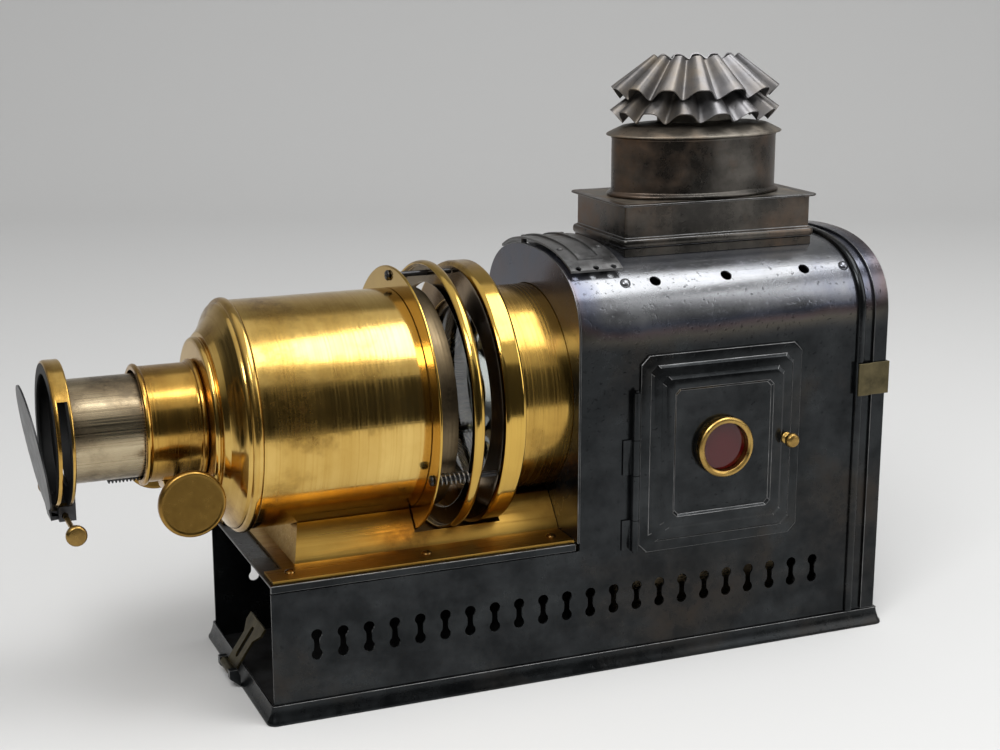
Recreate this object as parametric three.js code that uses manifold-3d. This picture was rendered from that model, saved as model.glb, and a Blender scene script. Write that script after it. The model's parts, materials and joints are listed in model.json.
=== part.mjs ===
// Magic lantern for glass slides: a brass lens tube on an iron lamp house with a fluted chimney.
// Millimetres, +Z up. The origin is the centre of the base on the surface that it stands on,
// +X points to the rear door, and the lens looks along -X. The hinged side door faces -Y.

import * as THREE from 'three';
import { mergeVertices } from 'three/addons/utils/BufferGeometryUtils.js';
import Module from 'manifold-3d';

const wasm = await Module();
wasm.setup();

// Clearances and sheets
const seatGap = 0.3; // between a piece and what carries it
const overrun = 3; // how far a cutting shape runs past what it cuts
const ironSheet = 1.2;
const brassSheet = 1.2;

// Condenser: two glasses in a cell, in a tube that the lamp house and the axis are built round
const condenserGlassRadius = 50.5;
const condenserGlassSag = 14;
const condenserGlassEdge = 3;
const condenserGlassSpace = 2.2;
const cellWall = 5.2;
const cellLip = 1.6;
const cellRadius = condenserGlassRadius + seatGap + cellWall;
const condenserRadius = cellRadius + seatGap * 2 + brassSheet;
const condenserFlange = 4;

// Lens barrel, its front edge over the front edge of the base
const barrelRadius = 61.4;
const noseBeadProud = 1.6;
const noseBeadRadius = barrelRadius + noseBeadProud;
const noseBeadWidth = 5.6;
const noseLength = 20.6;
const noseRingRadius = 43;
const noseRingWidth = 4;
const noseSkirt = 6;

// Slide stage, each piece placed behind the one in front of it
const barrelLength = 89.6;
const flangeStart = barrelLength + seatGap;
const flangeThickness = 1.6;
const shortRingStep = 0.4; // of the short ring inside the barrel's outside
const shortRingRadius = barrelRadius - shortRingStep;
const shortRingLength = 13.5;
const shortRingEnd = flangeStart + flangeThickness + shortRingLength;
const plateSlide = 1.8; // of the sprung plate round the short ring
const plateWidth = 12.2;
const plateThickness = 6.4;
const plateRest = 3.6; // of the plate behind the short ring
const plateStart = shortRingEnd + plateRest;
const plateEnd = plateStart + plateThickness;
const plateBore = shortRingRadius + plateSlide;
const plateRadius = plateBore + plateWidth;
const rodInset = 6.6; // of the stage rods inside the plate's rim
const rodCircle = plateRadius - rodInset;
const flangeStep = 1.4; // of the front flange inside the plate's rim
const flangeRadius = plateRadius - flangeStep;
const slideSpace = 11.1;
const backRingDepth = 12.5;
const backRingStart = plateEnd + slideSpace;
const backRingEnd = backRingStart + backRingDepth;
const backRingStep = 1.3; // of the back ring inside the plate's rim
const backRingRadius = plateRadius - backRingStep;
const backRingLap = 5.8; // of the back ring over the condenser tube
const backRingBore = condenserRadius - backRingLap;
const backRingWall = 2.6;
const rodRadius = 1.5;
const rodHeadRadius = 2.9;
const rodHeadHeight = 1.5;
const rodAngles = [86, 206, 326]; // degrees about the optical axis, from +Y
const rodNames = ['top', 'left', 'right'];
const springCoilRadius = 3;
const springWireRadius = 0.45;
const springCurls = 7;

// Where the lamp house stands on the base
const tubeShown = 34.1; // of the condenser tube between the stage and the house
const houseStart = backRingEnd + tubeShown; // front face of the front plate
const houseLength = 193.3;
const houseEnd = houseStart + houseLength;

// Base box: every x is measured from its front edge
const houseMargin = 6.2; // of the lamp house outside the condenser tube
const baseTail = 3; // behind the lamp house
const baseLength = houseEnd + baseTail;
const baseWidth = (condenserRadius + houseMargin) * 2;
const baseHeight = 71;
const rimHeight = 10;
const rimProud = 4.5;
const rimFoot = 1.6; // height of the rolled edge at the floor
const shelfEdge = 4.4;
const shelfSetback = 0.4;

// Dumbbell air holes along both sides
const ventCount = 22;
const ventFirst = 23.8;
const ventTail = 41.48; // of the last hole in front of the house's end
const ventPitch = (houseEnd - ventTail - ventFirst) / (ventCount - 1);
const ventHeight = 40.5;
const ventLength = 17;
const ventHeadRadius = 3.1;
const ventWaistRadius = 1.5;

// Hasp at the open front of the base
const haspLength = 30;
const haspWidth = 29;
const haspWaist = 17;
const haspThickness = 1.4;
const haspSlotLength = 19;
const haspSlotWidth = 4.5;
const haspLean = 34; // degrees from upright, into the base
const haspPinRadius = 1.1;
const haspKnuckleRadius = 2.4;
const haspStandOff = 4.2; // of the pin in front of the rim
const haspPinHeight = 8.4;
const haspLugWidth = 4;

// Optical axis: the sprung plate just clears the shelf
const plateClearance = 0.6;
const opticalHeight = baseHeight + shelfEdge + plateRadius + plateClearance;

// Lamp house
const wallAboveAxis = 35.9;
const wallTop = opticalHeight + wallAboveAxis; // where the side walls turn into the roof
const archRise = 42.9;
const archSquareness = 2.44; // exponent of the roof's superellipse
const roofTop = wallTop + archRise;
const frontPlateThickness = 1.5;
const frontPlateProud = 0.8;

// Focusing lens
const tubeRadius = 27.1;
const jacketSlide = 1.8; // of the jacket's bore round the tube
const jacketWall = 1.6;
const jacketRadius = tubeRadius + jacketSlide + jacketWall;
const jacketFront = -53;
const jacketRear = 6;
const jacketBead = 1.6;
const jacketBeadWidth = 3;
const tubeFront = -89.2;
const tubeRear = 14;
const hoodDepth = 9;
const hoodRear = tubeFront - seatGap;
const hoodFront = hoodRear - hoodDepth;
const hoodRadius = 38;
const hoodWall = 1.5;
const hoodLip = 7;
const hoodMouth = hoodRadius - hoodLip;
const hoodSlotSetback = 2.1;
const hoodSlotWidth = 5.2;
const hoodSlotStart = hoodFront + hoodSlotSetback;
const hoodSlotEnd = hoodSlotStart + hoodSlotWidth;
const glassEdge = 2;
const glassSag = 3.4;
const frontGlassSetback = 5.2; // inside the tube's front end
const frontGlassPlace = tubeFront + frontGlassSetback;
const rearGlassSetback = 10; // inside the tube's rear end
const rearGlassPlace = tubeRear - rearGlassSetback;

// Rack and pinion
const toothModule = 0.6;
const pinionTeeth = 10;
const pinionWidth = 7;
const pinionSetback = 18.7; // behind the jacket's front end
const pinionPlace = jacketFront + pinionSetback;
const rackBase = 1.1;
const rackWidth = 4.4;
const rackTeeth = 30;
const rackSetback = 21.7; // behind the tube's front end
const rackFront = tubeFront + rackSetback;
const pinionShaftRadius = 1.6;
const bracketCheekGap = 5; // half the space between the cheeks
const bracketCheekWidth = 5;
const bracketLength = 17;
const bracketDrop = 5.4; // below the shaft's centre
const wheelRadius = 17.4;
const wheelThickness = 5.2;
const wheelOffset = 42; // inner face of a wheel from the centre plane
const wheelRimStep = 0.7;
const wheelBossRadius = 6;
const wheelBossHeight = 7;

// Flap in front of the lens
const flapRadius = 33;
const flapThickness = 0.9;
const flapOpen = 9; // degrees from shut
const flapPinSetback = 5.5; // behind the hood's front
const flapPinX = hoodFront + flapPinSetback;
const flapPinDrop = 1.9; // below the hood
const flapPinRadius = 1.3;
const flapPinReach = 2; // of the pin past the hood, to each knob
const flapPinHalf = hoodRadius + flapPinReach;
const flapKnobRadius = 5.4;
const flapKnobLength = 8;
const flapLugWidth = 13;
const flapBracketWidth = 5;

// Brass saddle under the barrel
const saddleFlange = 1.5;
const saddleFlangeFront = 2;
const saddleFlangeStep = 0.4; // of the flange inside the barrel's outside
const saddleFlangeHalf = barrelRadius - saddleFlangeStep;
const saddleFoot = 40; // half width of the raised part at its foot
const saddleTopHalf = 25;
const saddleFrontFoot = 19;
const saddleFrontTop = 26;
const saddleTopDrop = 56; // of the raised part's top below the axis
const saddleTop = opticalHeight - saddleTopDrop;
const saddleNoseHalf = 44;
const saddleNose = 12;
const saddleScrewPlaces = [14, 90, 163];
const saddleScrewInset = 10.5; // from the flange's edge
const saddleScrewOffset = saddleFlangeHalf - saddleScrewInset;
const screwRadius = 2.9;
const screwHeight = 1.7;

// Roof details
const shoulderSide = 52; // distance of the shoulder holes from the centre plane
const shoulderHoleRadius = 3.3;
const shoulderHoleSetbacks = [51.1, 95.3, 145.5]; // behind the front plate's face
const shoulderHoles = shoulderHoleSetbacks.map((setback) => houseStart + setback);
const shoulderRivetSetbacks = [32.9, 171.6]; // behind the front plate's face
const shoulderRivets = shoulderRivetSetbacks.map((setback) => houseStart + setback);
const rivetRadius = 3;
const rivetHeight = 1.8;
const roofPlateSetback = 2.3; // behind the front plate's face
const roofPlateLength = 31;
const roofPlateStart = houseStart + roofPlateSetback;
const roofPlateEnd = roofPlateStart + roofPlateLength;
const roofPlateHalf = 48;
const roofPlateLift = 3;
const roofPlateThickness = 1.1;
const roofPlateFrame = 1.1;
const roofPlateFrameInset = 8;
const roofPlateHoleRadius = 1.7;

// Chimney
const boxHalfLength = 59.1;
const chimneyGap = 9.4; // between the roof plate and the box
const chimneyPlace = roofPlateEnd + chimneyGap + boxHalfLength;
const boxHalfWidth = 31.6;
const boxLift = 1.6; // above the roof
const boxHeight = 24.3;
const boxBottom = roofTop + boxLift;
const boxTop = boxBottom + boxHeight;
const boxBead = 2.6;
const boxBeadHeight = 5.2;
const boxFlange = 3.8;
const boxFlangeThickness = 1.1;
const collarWall = 1.2;
const collarLap = 17; // how far the collar reaches up inside the box
const collarFlange = 2.2;
const ovalHalfLength = 51;
const ovalHalfWidth = 28.6;
const ovalWall = 1.1;
const ovalHeight = 33.9;
const ovalTop = boxTop + ovalHeight;
const ovalFoot = 2.2;
const ovalFootHeight = 2.6;
const brimProud = 3;
const brimThickness = 1;
const cowlRise = 4.9;
const crownFlutes = 14;
const crownSheet = 0.9;
const crownWaveBottom = 4.1;
const crownWaveTop = 1.9;
const crownBottomHalfLength = 49.2;
const crownBottomHalfWidth = 28.2;
const crownTopHalfLength = 26;
const crownTopHalfWidth = 10.6;
const crownRise = 19;
const crownLift = 23.8; // of the upper crown's foot above the oval tube
const crownUpperBottom = ovalTop + crownLift;
const crownDrop = 12.9; // of the lower crown below the upper one

// Side door, on the -Y wall
const doorSetback = 36.9; // behind the front plate's face
const doorLength = 101.4;
const doorStart = houseStart + doorSetback;
const doorEnd = doorStart + doorLength;
const doorTopMargin = 8.9; // below the turn of the roof
const doorTop = wallTop - doorTopMargin;
const doorChamfer = 5;
const doorSheet = 1.4;
const doorStep = 1.5;
const doorStepInset = 6;
const doorPanelInset = 13;
const doorOpeningInset = 9;
const doorSill = 9; // of the opening above the base
const doorOpeningBottom = baseHeight + doorSill;
const doorOverlap = 14.6; // of the door below the opening
const doorBottom = doorOpeningBottom - doorOverlap;
const hingePinRadius = 1.1;
const hingeKnuckleRadius = 2.2;
const hingeStandOff = 2.8; // of the pin's centre outside the wall
const hingeReach = 3; // of the pin's centre in front of the door's edge
const hingeBreaksShares = [0, 0.198, 0.481, 0.705, 1]; // of the knuckled length
const hingeTopInset = 19.5; // of the top knuckle below the door's top
const hingeLeafWidth = 7;
const hingeLeafSheet = 0.8;
const peepholeDrop = 28; // below the axis
const peepholeHeight = opticalHeight - peepholeDrop;
const peepholeRadius = 16;
const peepholeDepth = 7;
const peepholeWall = 2.2;
const peepholeGlass = 2;
const doorKnobRadius = 4.2;
const doorKnobLength = 9;
const doorKnobInset = 9.6;

// Rear door, a shallow arched pan that shuts over the end of the lamp house
const rearRim = 9;
const rearBeadSetback = 18.2; // of the bead in front of the house's end
const rearBeadPlace = houseEnd - rearBeadSetback;
const rearBeadWidth = 5;
const rearBeadProud = 2.4;
const rearDoorStep = 1.6;
const rearDoorStepInset = 11;
const rearHingeLow = 52;
const rearHingeDrop = 10.9; // of the upper hinge below the turn of the roof
const rearHingeHeights = [rearHingeLow, wallTop - rearHingeDrop];
const rearHingeNames = ['lower', 'upper'];
const rearKnuckleLength = 16;
const latchHeight = 19;
const latchDrop = 34.9; // below the turn of the roof
const latchCentre = wallTop - latchDrop;
const latchReach = 15;
const latchSheet = 1.2;

// Oil lamp inside the lamp house
const trayHalfWidth = 50;
const trayLength = 147;
const trayClearance = 14; // in front of the house's end
const trayEnd = houseEnd - trayClearance;
const trayStart = trayEnd - trayLength;
const trayEdge = 5;
const tankSetback = 7; // behind the tray's front edge
const tankTail = 20; // in front of its rear edge
const tankLength = trayLength - tankSetback - tankTail;
const tankStart = trayStart + tankSetback;
const tankEnd = tankStart + tankLength;
const tankMargin = 6; // of the tray beside the tank
const tankHalfWidth = trayHalfWidth - tankMargin;
const tankTop = 46;
const tankCorner = 16;
const wickTubeSetback = 24; // behind the tank's front
const wickTubeTail = 26; // in front of its rear
const wickTubeLength = tankLength - wickTubeSetback - wickTubeTail;
const wickTubeStart = tankStart + wickTubeSetback;
const wickTubeEnd = wickTubeStart + wickTubeLength;
const wickTubeTop = 118;
const wickTubeThickness = 4;
const wickTubePitch = 14;
const chamberLap = 10; // in front of the wick tubes
const chamberTail = 16; // behind them
const chamberStart = wickTubeStart - chamberLap;
const chamberEnd = wickTubeEnd + chamberTail;
const chamberHalfWidth = 30;
const chamberRise = 19.1; // above the turn of the roof
const chamberTop = wallTop + chamberRise;
const chamberWindowBottom = 116;
const chamberWindowDrop = 18; // below the chamber's top
const chamberWindowTop = chamberTop - chamberWindowDrop;
const chamberWindowHalf = 24;
const spindleHeight = 60;
const spindleRadius = 1.6;
const spindleSetback = 3; // behind the wick tubes
const spindleTail = 2; // in front of the tray's rear edge
const spindleStart = wickTubeEnd + spindleSetback;
const spindleEnd = trayEnd - spindleTail;
const spindleKnobRadius = 7;
const spindleKnobLength = 4;

// Facets of round pieces
const wideFacets = 28;
const middleFacets = 20;
const smallFacets = 12;
const tinyFacets = 6;
const archSteps = 16;
const plateSteps = 6;
const curlSteps = 8;
const wireSides = 5;
const fluteSteps = 6;
const ventSteps = 4;
const cornerSteps = 4;
const lensSteps = 3;

// Colours, roughness and metalness
const polishedBrass = { color: '#c79a3e', roughness: 0.22, metalness: 1 };
const dullBrass = { color: '#8d7a4a', roughness: 0.45, metalness: 1 };
const satinBrass = { color: '#6f5a35', roughness: 0.4, metalness: 1 };
const gunIron = { color: '#2b2e30', roughness: 0.3, metalness: 0.9 };
const brownIron = { color: '#4a433d', roughness: 0.5, metalness: 0.8 };
const greySteel = { color: '#77746e', roughness: 0.45, metalness: 0.9 };
const darkSteel = { color: '#3a3a3c', roughness: 0.4, metalness: 0.9 };
const clearGlass = { color: '#cfe3da', roughness: 0.05, metalness: 0, transparent: true, opacity: 0.35 };
const redGlass = { color: '#5a0f16', roughness: 0.1, metalness: 0, transparent: true, opacity: 0.6 };

const lantern = new THREE.Group();
const bench = new THREE.Group(); // its x starts at the front edge of the base
bench.position.x = -baseLength / 2;
lantern.add(bench);

// Shapes and solids

function solidOf(geometry) {
  const bare = geometry.index ? geometry.toNonIndexed() : geometry;
  const shell = new THREE.BufferGeometry();
  shell.setAttribute('position', bare.getAttribute('position'));
  const merged = mergeVertices(shell);
  const corners = merged.getAttribute('position');
  const faces = [];
  for (let i = 0; i < merged.index.count; i += 3) {
    const face = [merged.index.getX(i), merged.index.getX(i + 1), merged.index.getX(i + 2)];
    if (new Set(face).size === face.length) faces.push(face);
  }
  let volume = 0;
  for (const face of faces) {
    const [a, b, c] = face.map((k) => new THREE.Vector3().fromBufferAttribute(corners, k));
    volume += a.dot(b.cross(c));
  }
  if (volume < 0) faces.forEach((face) => face.reverse());
  const triVerts = new Uint32Array(faces.flat());
  const vertProperties = new Float32Array(corners.array);
  return new wasm.Manifold(new wasm.Mesh({ numProp: 3, vertProperties, triVerts }));
}

function joined(solids) {
  return solids.reduce((sum, solid) => sum.add(solid));
}

function cutBy(solid, tools) {
  return tools.reduce((left, tool) => left.subtract(tool), solid);
}

function addNode(name, solid, look) {
  const made = solid.getMesh();
  const geometry = new THREE.BufferGeometry();
  geometry.setAttribute('position', new THREE.BufferAttribute(made.vertProperties, 3));
  geometry.setIndex(new THREE.BufferAttribute(made.triVerts, 1));
  geometry.computeVertexNormals();
  const mesh = new THREE.Mesh(geometry, new THREE.MeshStandardMaterial(look));
  mesh.name = name;
  bench.add(mesh);
}

function outline(points) {
  return new THREE.Shape(points.map(([across, up]) => new THREE.Vector2(across, up)));
}

// A prism whose section lies across one axis. Along x the section is (y, z), along y it is
// (x, z), and along z it is (x, y).
function prism(shape, axis, start, end) {
  const geometry = new THREE.ExtrudeGeometry(shape, { depth: end - start, bevelEnabled: false, curveSegments: cornerSteps });
  const turn = new THREE.Matrix4();
  const [x, y, z] = [new THREE.Vector3(1, 0, 0), new THREE.Vector3(0, 1, 0), new THREE.Vector3(0, 0, 1)];
  if (axis === 'x') turn.makeBasis(y, z, x).setPosition(start, 0, 0);
  if (axis === 'y') turn.makeBasis(x, z, y.negate()).setPosition(0, end, 0);
  if (axis === 'z') turn.makeBasis(x, y, z).setPosition(0, 0, start);
  return solidOf(geometry.applyMatrix4(turn));
}

function block(x0, x1, y0, y1, z0, z1) {
  return prism(outline([[x0, y0], [x1, y0], [x1, y1], [x0, y1]]), 'z', z0, z1);
}

// A turned piece: the profile is a list of [radius, distance along the axis].
function turned(profile, facets, origin, direction) {
  const points = profile.map(([radius, along]) => new THREE.Vector2(radius, along));
  if (profile[0][0] > 0) points.push(points[0].clone());
  const geometry = new THREE.LatheGeometry(points, facets);
  const up = new THREE.Vector3(0, 1, 0);
  geometry.applyQuaternion(new THREE.Quaternion().setFromUnitVectors(up, direction));
  return solidOf(geometry.translate(...origin));
}

const alongX = new THREE.Vector3(1, 0, 0);
const alongY = new THREE.Vector3(0, 1, 0);
const alongZ = new THREE.Vector3(0, 0, 1);

function turnedOnAxis(profile, facets) {
  return turned(profile, facets, [0, 0, opticalHeight], alongX);
}

function rod(radius, start, end, facets, origin, direction) {
  return turned([[0, start], [radius, start], [radius, end], [0, end]], facets, origin, direction);
}

function domeProfile(radius, height) {
  const shoulder = 0.72; // share of the radius where the dome turns over
  return [[0, 0], [radius, 0], [radius, height * (1 - shoulder)], [radius * shoulder, height * shoulder], [0, height]];
}

// A skin through closed rings of equal count; the last ring joins the first.
function ringLoft(rings) {
  const count = rings[0].length;
  const positions = rings.flat().flatMap((p) => [p.x, p.y, p.z]);
  const index = [];
  rings.forEach((ring, i) => {
    const next = (i + 1) % rings.length;
    for (let j = 0; j < count; j += 1) {
      const k = (j + 1) % count;
      const [a, b, c, d] = [i * count + j, i * count + k, next * count + k, next * count + j];
      index.push(a, b, c, a, c, d);
    }
  });
  const geometry = new THREE.BufferGeometry();
  geometry.setAttribute('position', new THREE.Float32BufferAttribute(positions, 3));
  geometry.setIndex(index);
  return solidOf(geometry);
}

function rectangleRing(x0, x1, half, z) {
  return [[x0, -half], [x1, -half], [x1, half], [x0, half]].map(([x, y]) => new THREE.Vector3(x, y, z));
}

function ovalRing(halfLength, halfWidth, z, count) {
  const ring = [];
  for (let i = 0; i < count; i += 1) {
    const angle = (2 * Math.PI * i) / count;
    ring.push(new THREE.Vector3(halfLength * Math.cos(angle), halfWidth * Math.sin(angle), z));
  }
  return ring.map((p) => p.add(new THREE.Vector3(chimneyPlace, 0, 0)));
}

// The roof's curve, grown or shrunk by an offset: points from -Y over the top to +Y.
function archCurve(offset, half, steps = archSteps) {
  const points = [];
  const radius = baseWidth / 2 + offset;
  const rise = archRise + offset;
  const limit = half ? Math.acos(Math.min(1, Math.pow(half / radius, archSquareness / 2))) : 0;
  for (let i = 0; i <= steps; i += 1) {
    const angle = Math.PI - limit - ((Math.PI - 2 * limit) * i) / steps;
    const across = Math.sign(Math.cos(angle)) * Math.pow(Math.abs(Math.cos(angle)), 2 / archSquareness);
    const up = Math.pow(Math.abs(Math.sin(angle)), 2 / archSquareness);
    points.push([radius * across, wallTop + rise * up]);
  }
  return points;
}

// The whole end view of the lamp house, from its foot over the roof.
function houseOutline(offset, foot) {
  const side = baseWidth / 2 + offset;
  return [[-side, foot], ...archCurve(offset), [side, foot]];
}

function wallRing(outer, inner, foot, start, end) {
  const hollow = prism(outline(houseOutline(inner, foot - overrun)), 'x', start - overrun, end + overrun);
  return prism(outline(houseOutline(outer, foot)), 'x', start, end).subtract(hollow);
}

// A point on the roof at a distance from the centre plane, with the outward direction there.
function onRoof(x, y) {
  const across = Math.abs(y) / (baseWidth / 2);
  const up = Math.pow(1 - Math.pow(across, archSquareness), 1 / archSquareness);
  const slope = new THREE.Vector3(
    0,
    (Math.sign(y) * Math.pow(across, archSquareness - 1)) / (baseWidth / 2),
    Math.pow(up, archSquareness - 1) / archRise,
  );
  return { point: [x, y, wallTop + archRise * up], outward: slope.normalize() };
}

// Base

const wallHalf = baseWidth / 2;
const shelfTop = baseHeight + shelfEdge;

function dumbbell(x, z) {
  const reach = ventLength / 2 - ventHeadRadius;
  const points = [];
  for (const end of [1, -1]) {
    for (let i = 0; i <= ventSteps; i += 1) {
      const angle = THREE.MathUtils.degToRad(-45 + (270 * i) / ventSteps);
      const across = end * ventHeadRadius * Math.cos(angle);
      points.push([x + across, z + end * (reach + ventHeadRadius * Math.sin(angle))]);
    }
    points.push([x - end * ventWaistRadius, z]);
  }
  return new THREE.Path(points.map(([across, up]) => new THREE.Vector2(across, up)));
}

function baseSide(name, from, to) {
  const shape = outline([[0, seatGap], [houseEnd, seatGap], [houseEnd, baseHeight], [0, baseHeight]]);
  for (let i = 0; i < ventCount; i += 1) {
    shape.holes.push(dumbbell(ventFirst + i * ventPitch, ventHeight));
  }
  addNode(name, prism(shape, 'y', from, to), gunIron);
}

function makeBase() {
  const section = [
    [seatGap, 0], [rimProud, 0], [rimProud, rimFoot], [rimProud / 3, rimHeight * 0.85],
    [rimProud / 3, rimHeight], [seatGap, rimHeight],
  ];
  const rings = section.map(([out, up]) => rectangleRing(-out, baseLength + out, wallHalf + out, up));
  addNode('base_rim', ringLoft(rings), gunIron);
  const inner = wallHalf - ironSheet - seatGap;
  addNode('base_floor', block(0, baseLength, -inner, inner, 0, ironSheet), gunIron);
  baseSide('base_side_left', -wallHalf, -wallHalf + ironSheet);
  baseSide('base_side_right', wallHalf - ironSheet, wallHalf);
  const edge = wallHalf - shelfSetback;
  const under = edge - ironSheet;
  const foot = baseHeight + seatGap;
  const tray = outline([
    [-edge, foot], [-edge, shelfTop], [edge, shelfTop], [edge, foot],
    [under, foot], [under, shelfTop - ironSheet], [-under, shelfTop - ironSheet], [-under, foot],
  ]);
  addNode('base_shelf', prism(tray, 'x', 0, houseStart - seatGap), gunIron);
}

// The hasp swings on a pin in two lugs on the front rim, and leans into the mouth of the base.
function makeHasp() {
  const pinX = -rimProud - haspStandOff;
  const lugHalf = haspWaist / 2 + seatGap;
  const pin = rod(haspPinRadius, -lugHalf - haspLugWidth, lugHalf + haspLugWidth, smallFacets, [pinX, 0, haspPinHeight], alongY);
  const lugs = [-1, 1].map((side) => {
    const shape = outline([
      [pinX - haspKnuckleRadius, haspPinHeight - haspKnuckleRadius], [-rimProud - seatGap, seatGap * 2],
      [-rimProud - seatGap, haspPinHeight - haspKnuckleRadius / 2], [pinX + haspKnuckleRadius, haspPinHeight + haspKnuckleRadius],
      [pinX - haspKnuckleRadius, haspPinHeight + haspKnuckleRadius],
    ]);
    const near = side < 0 ? -lugHalf - haspLugWidth : lugHalf;
    return prism(shape, 'y', near, near + haspLugWidth);
  });
  addNode('hasp_lugs', joined([pin, ...lugs]), gunIron);

  const half = haspWidth / 2;
  const neck = haspWaist / 2;
  const start = haspKnuckleRadius - haspThickness / 2;
  const flareShares = [0.16, 0.34, 0.66, 0.84]; // of the length, where the plate narrows and widens
  const at = (share) => haspLength * share;
  const blank = outline([
    [-neck + seatGap, start], [neck - seatGap, start], [neck, at(flareShares[0])], [neck, at(flareShares[2])],
    [half, at(flareShares[3])], [half, haspLength], [-half, haspLength], [-half, at(flareShares[3])],
    [-neck, at(flareShares[2])], [-neck, at(flareShares[0])],
  ]);
  const slotHalf = haspSlotWidth / 2;
  const slotStart = (haspLength + haspKnuckleRadius - haspSlotLength) / 2;
  const slot = new THREE.Path();
  slot.moveTo(-slotHalf, slotStart + slotHalf);
  slot.absarc(0, slotStart + slotHalf, slotHalf, Math.PI, 2 * Math.PI, false);
  slot.absarc(0, slotStart + haspSlotLength - slotHalf, slotHalf, 0, Math.PI, false);
  blank.holes.push(slot);
  const sheet = new THREE.ExtrudeGeometry(blank, { depth: haspThickness, bevelEnabled: false, curveSegments: cornerSteps });
  const stand = new THREE.Matrix4().makeBasis(alongY, alongZ, alongX).setPosition(haspKnuckleRadius - haspThickness, 0, 0);
  const lean = new THREE.Matrix4().makeRotationY(THREE.MathUtils.degToRad(haspLean)).setPosition(pinX, 0, haspPinHeight);
  const plate = solidOf(sheet.applyMatrix4(lean.multiply(stand)));
  const eye = neck - seatGap;
  const bore = haspPinRadius + seatGap;
  const knuckle = turned(
    [[bore, -eye], [haspKnuckleRadius, -eye], [haspKnuckleRadius, eye], [bore, eye]],
    smallFacets, [pinX, 0, haspPinHeight], alongY,
  );
  const clear = rod(bore, -half, half, smallFacets, [pinX, 0, haspPinHeight], alongY);
  addNode('hasp_plate', plate.subtract(clear).add(knuckle), dullBrass);
}

// Lamp house

function makeHouse() {
  const plateEndX = houseStart + frontPlateThickness;
  const start = plateEndX + seatGap;
  const boreRadius = condenserRadius + seatGap;
  const front = prism(outline(houseOutline(frontPlateProud, shelfTop + seatGap)), 'x', houseStart, plateEndX);
  addNode('front_plate', front.subtract(turnedRod(boreRadius, houseStart - overrun, plateEndX + overrun)), gunIron);

  const wall = (from, to) => block(start, houseEnd, from, to, baseHeight, wallTop);
  const opening = block(
    doorStart + doorOpeningInset, doorEnd - doorOpeningInset,
    -wallHalf - overrun, -wallHalf + ironSheet + overrun, doorOpeningBottom, doorTop - doorOpeningInset,
  );
  addNode('house_side_left', wall(-wallHalf, -wallHalf + ironSheet).subtract(opening), gunIron);
  addNode('house_side_right', wall(wallHalf - ironSheet, wallHalf), gunIron);

  const roof = prism(outline([...archCurve(0), ...archCurve(-ironSheet).reverse()]), 'x', start, houseEnd);
  const collarLength = boxHalfLength - ironSheet - seatGap;
  const collarWidth = boxHalfWidth - ironSheet - seatGap;
  const chimneyHole = block(
    chimneyPlace - collarLength + seatGap, chimneyPlace + collarLength - seatGap,
    -collarWidth + seatGap, collarWidth - seatGap, wallTop, boxTop,
  );
  const holes = [];
  for (const side of [-1, 1]) {
    for (const place of shoulderHoles) {
      const { point, outward } = onRoof(place, side * shoulderSide);
      holes.push(rod(shoulderHoleRadius, -overrun, overrun, smallFacets, point, outward));
    }
  }
  const rivets = [];
  for (const side of [-1, 1]) {
    for (const place of shoulderRivets) {
      const { point, outward } = onRoof(place, side * shoulderSide);
      const sunk = new THREE.Vector3(...point).addScaledVector(outward, -ironSheet / 2).toArray();
      rivets.push(turned(domeProfile(rivetRadius, rivetHeight + ironSheet / 2), tinyFacets, sunk, outward));
    }
  }
  addNode('roof_sheet', joined([cutBy(roof, [chimneyHole, ...holes]), ...rivets]), gunIron);
}

function turnedRod(radius, start, end) {
  return rod(radius, start, end, wideFacets, [0, 0, opticalHeight], alongX);
}

// A bare curved plate that stands off the roof in front of the chimney.
function makeRoofPlate() {
  const band = (low, high, half, start, end) => prism(
    outline([...archCurve(high, half, plateSteps), ...archCurve(low, half, plateSteps).reverse()]), 'x', start, end,
  );
  const top = roofPlateLift + roofPlateThickness;
  let plate = band(roofPlateLift, top, roofPlateHalf, roofPlateStart, roofPlateEnd);
  const inset = roofPlateFrameInset;
  const frame = band(top - overrun / 2, top + roofPlateFrame, roofPlateHalf - inset, roofPlateStart + inset, roofPlateEnd - inset);
  const window = band(
    roofPlateLift - overrun, top + overrun, roofPlateHalf - inset - roofPlateFrame * 2,
    roofPlateStart + inset + roofPlateFrame * 2, roofPlateEnd - inset - roofPlateFrame * 2,
  );
  const clear = band(-overrun, roofPlateLift, roofPlateHalf + overrun, roofPlateStart, roofPlateEnd);
  plate = plate.add(frame.subtract(window).subtract(clear));
  const holes = [];
  const feet = [];
  for (const side of [-1, 1]) {
    for (const share of [0.16, 0.5, 0.84]) {
      const place = roofPlateStart + (roofPlateEnd - roofPlateStart) * share;
      const { point, outward } = onRoof(place, side * (roofPlateHalf - roofPlateHoleRadius * 2));
      holes.push(rod(roofPlateHoleRadius, 0, top + overrun, tinyFacets, point, outward));
    }
    for (const share of [0.12, 0.88]) {
      const place = roofPlateStart + (roofPlateEnd - roofPlateStart) * share;
      const { point, outward } = onRoof(place, side * roofPlateHalf * 0.5);
      feet.push(rod(roofPlateHoleRadius, seatGap, top, tinyFacets, point, outward));
    }
  }
  addNode('roof_plate', cutBy(plate, holes).add(joined(feet)), gunIron);
}

// Chimney

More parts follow.
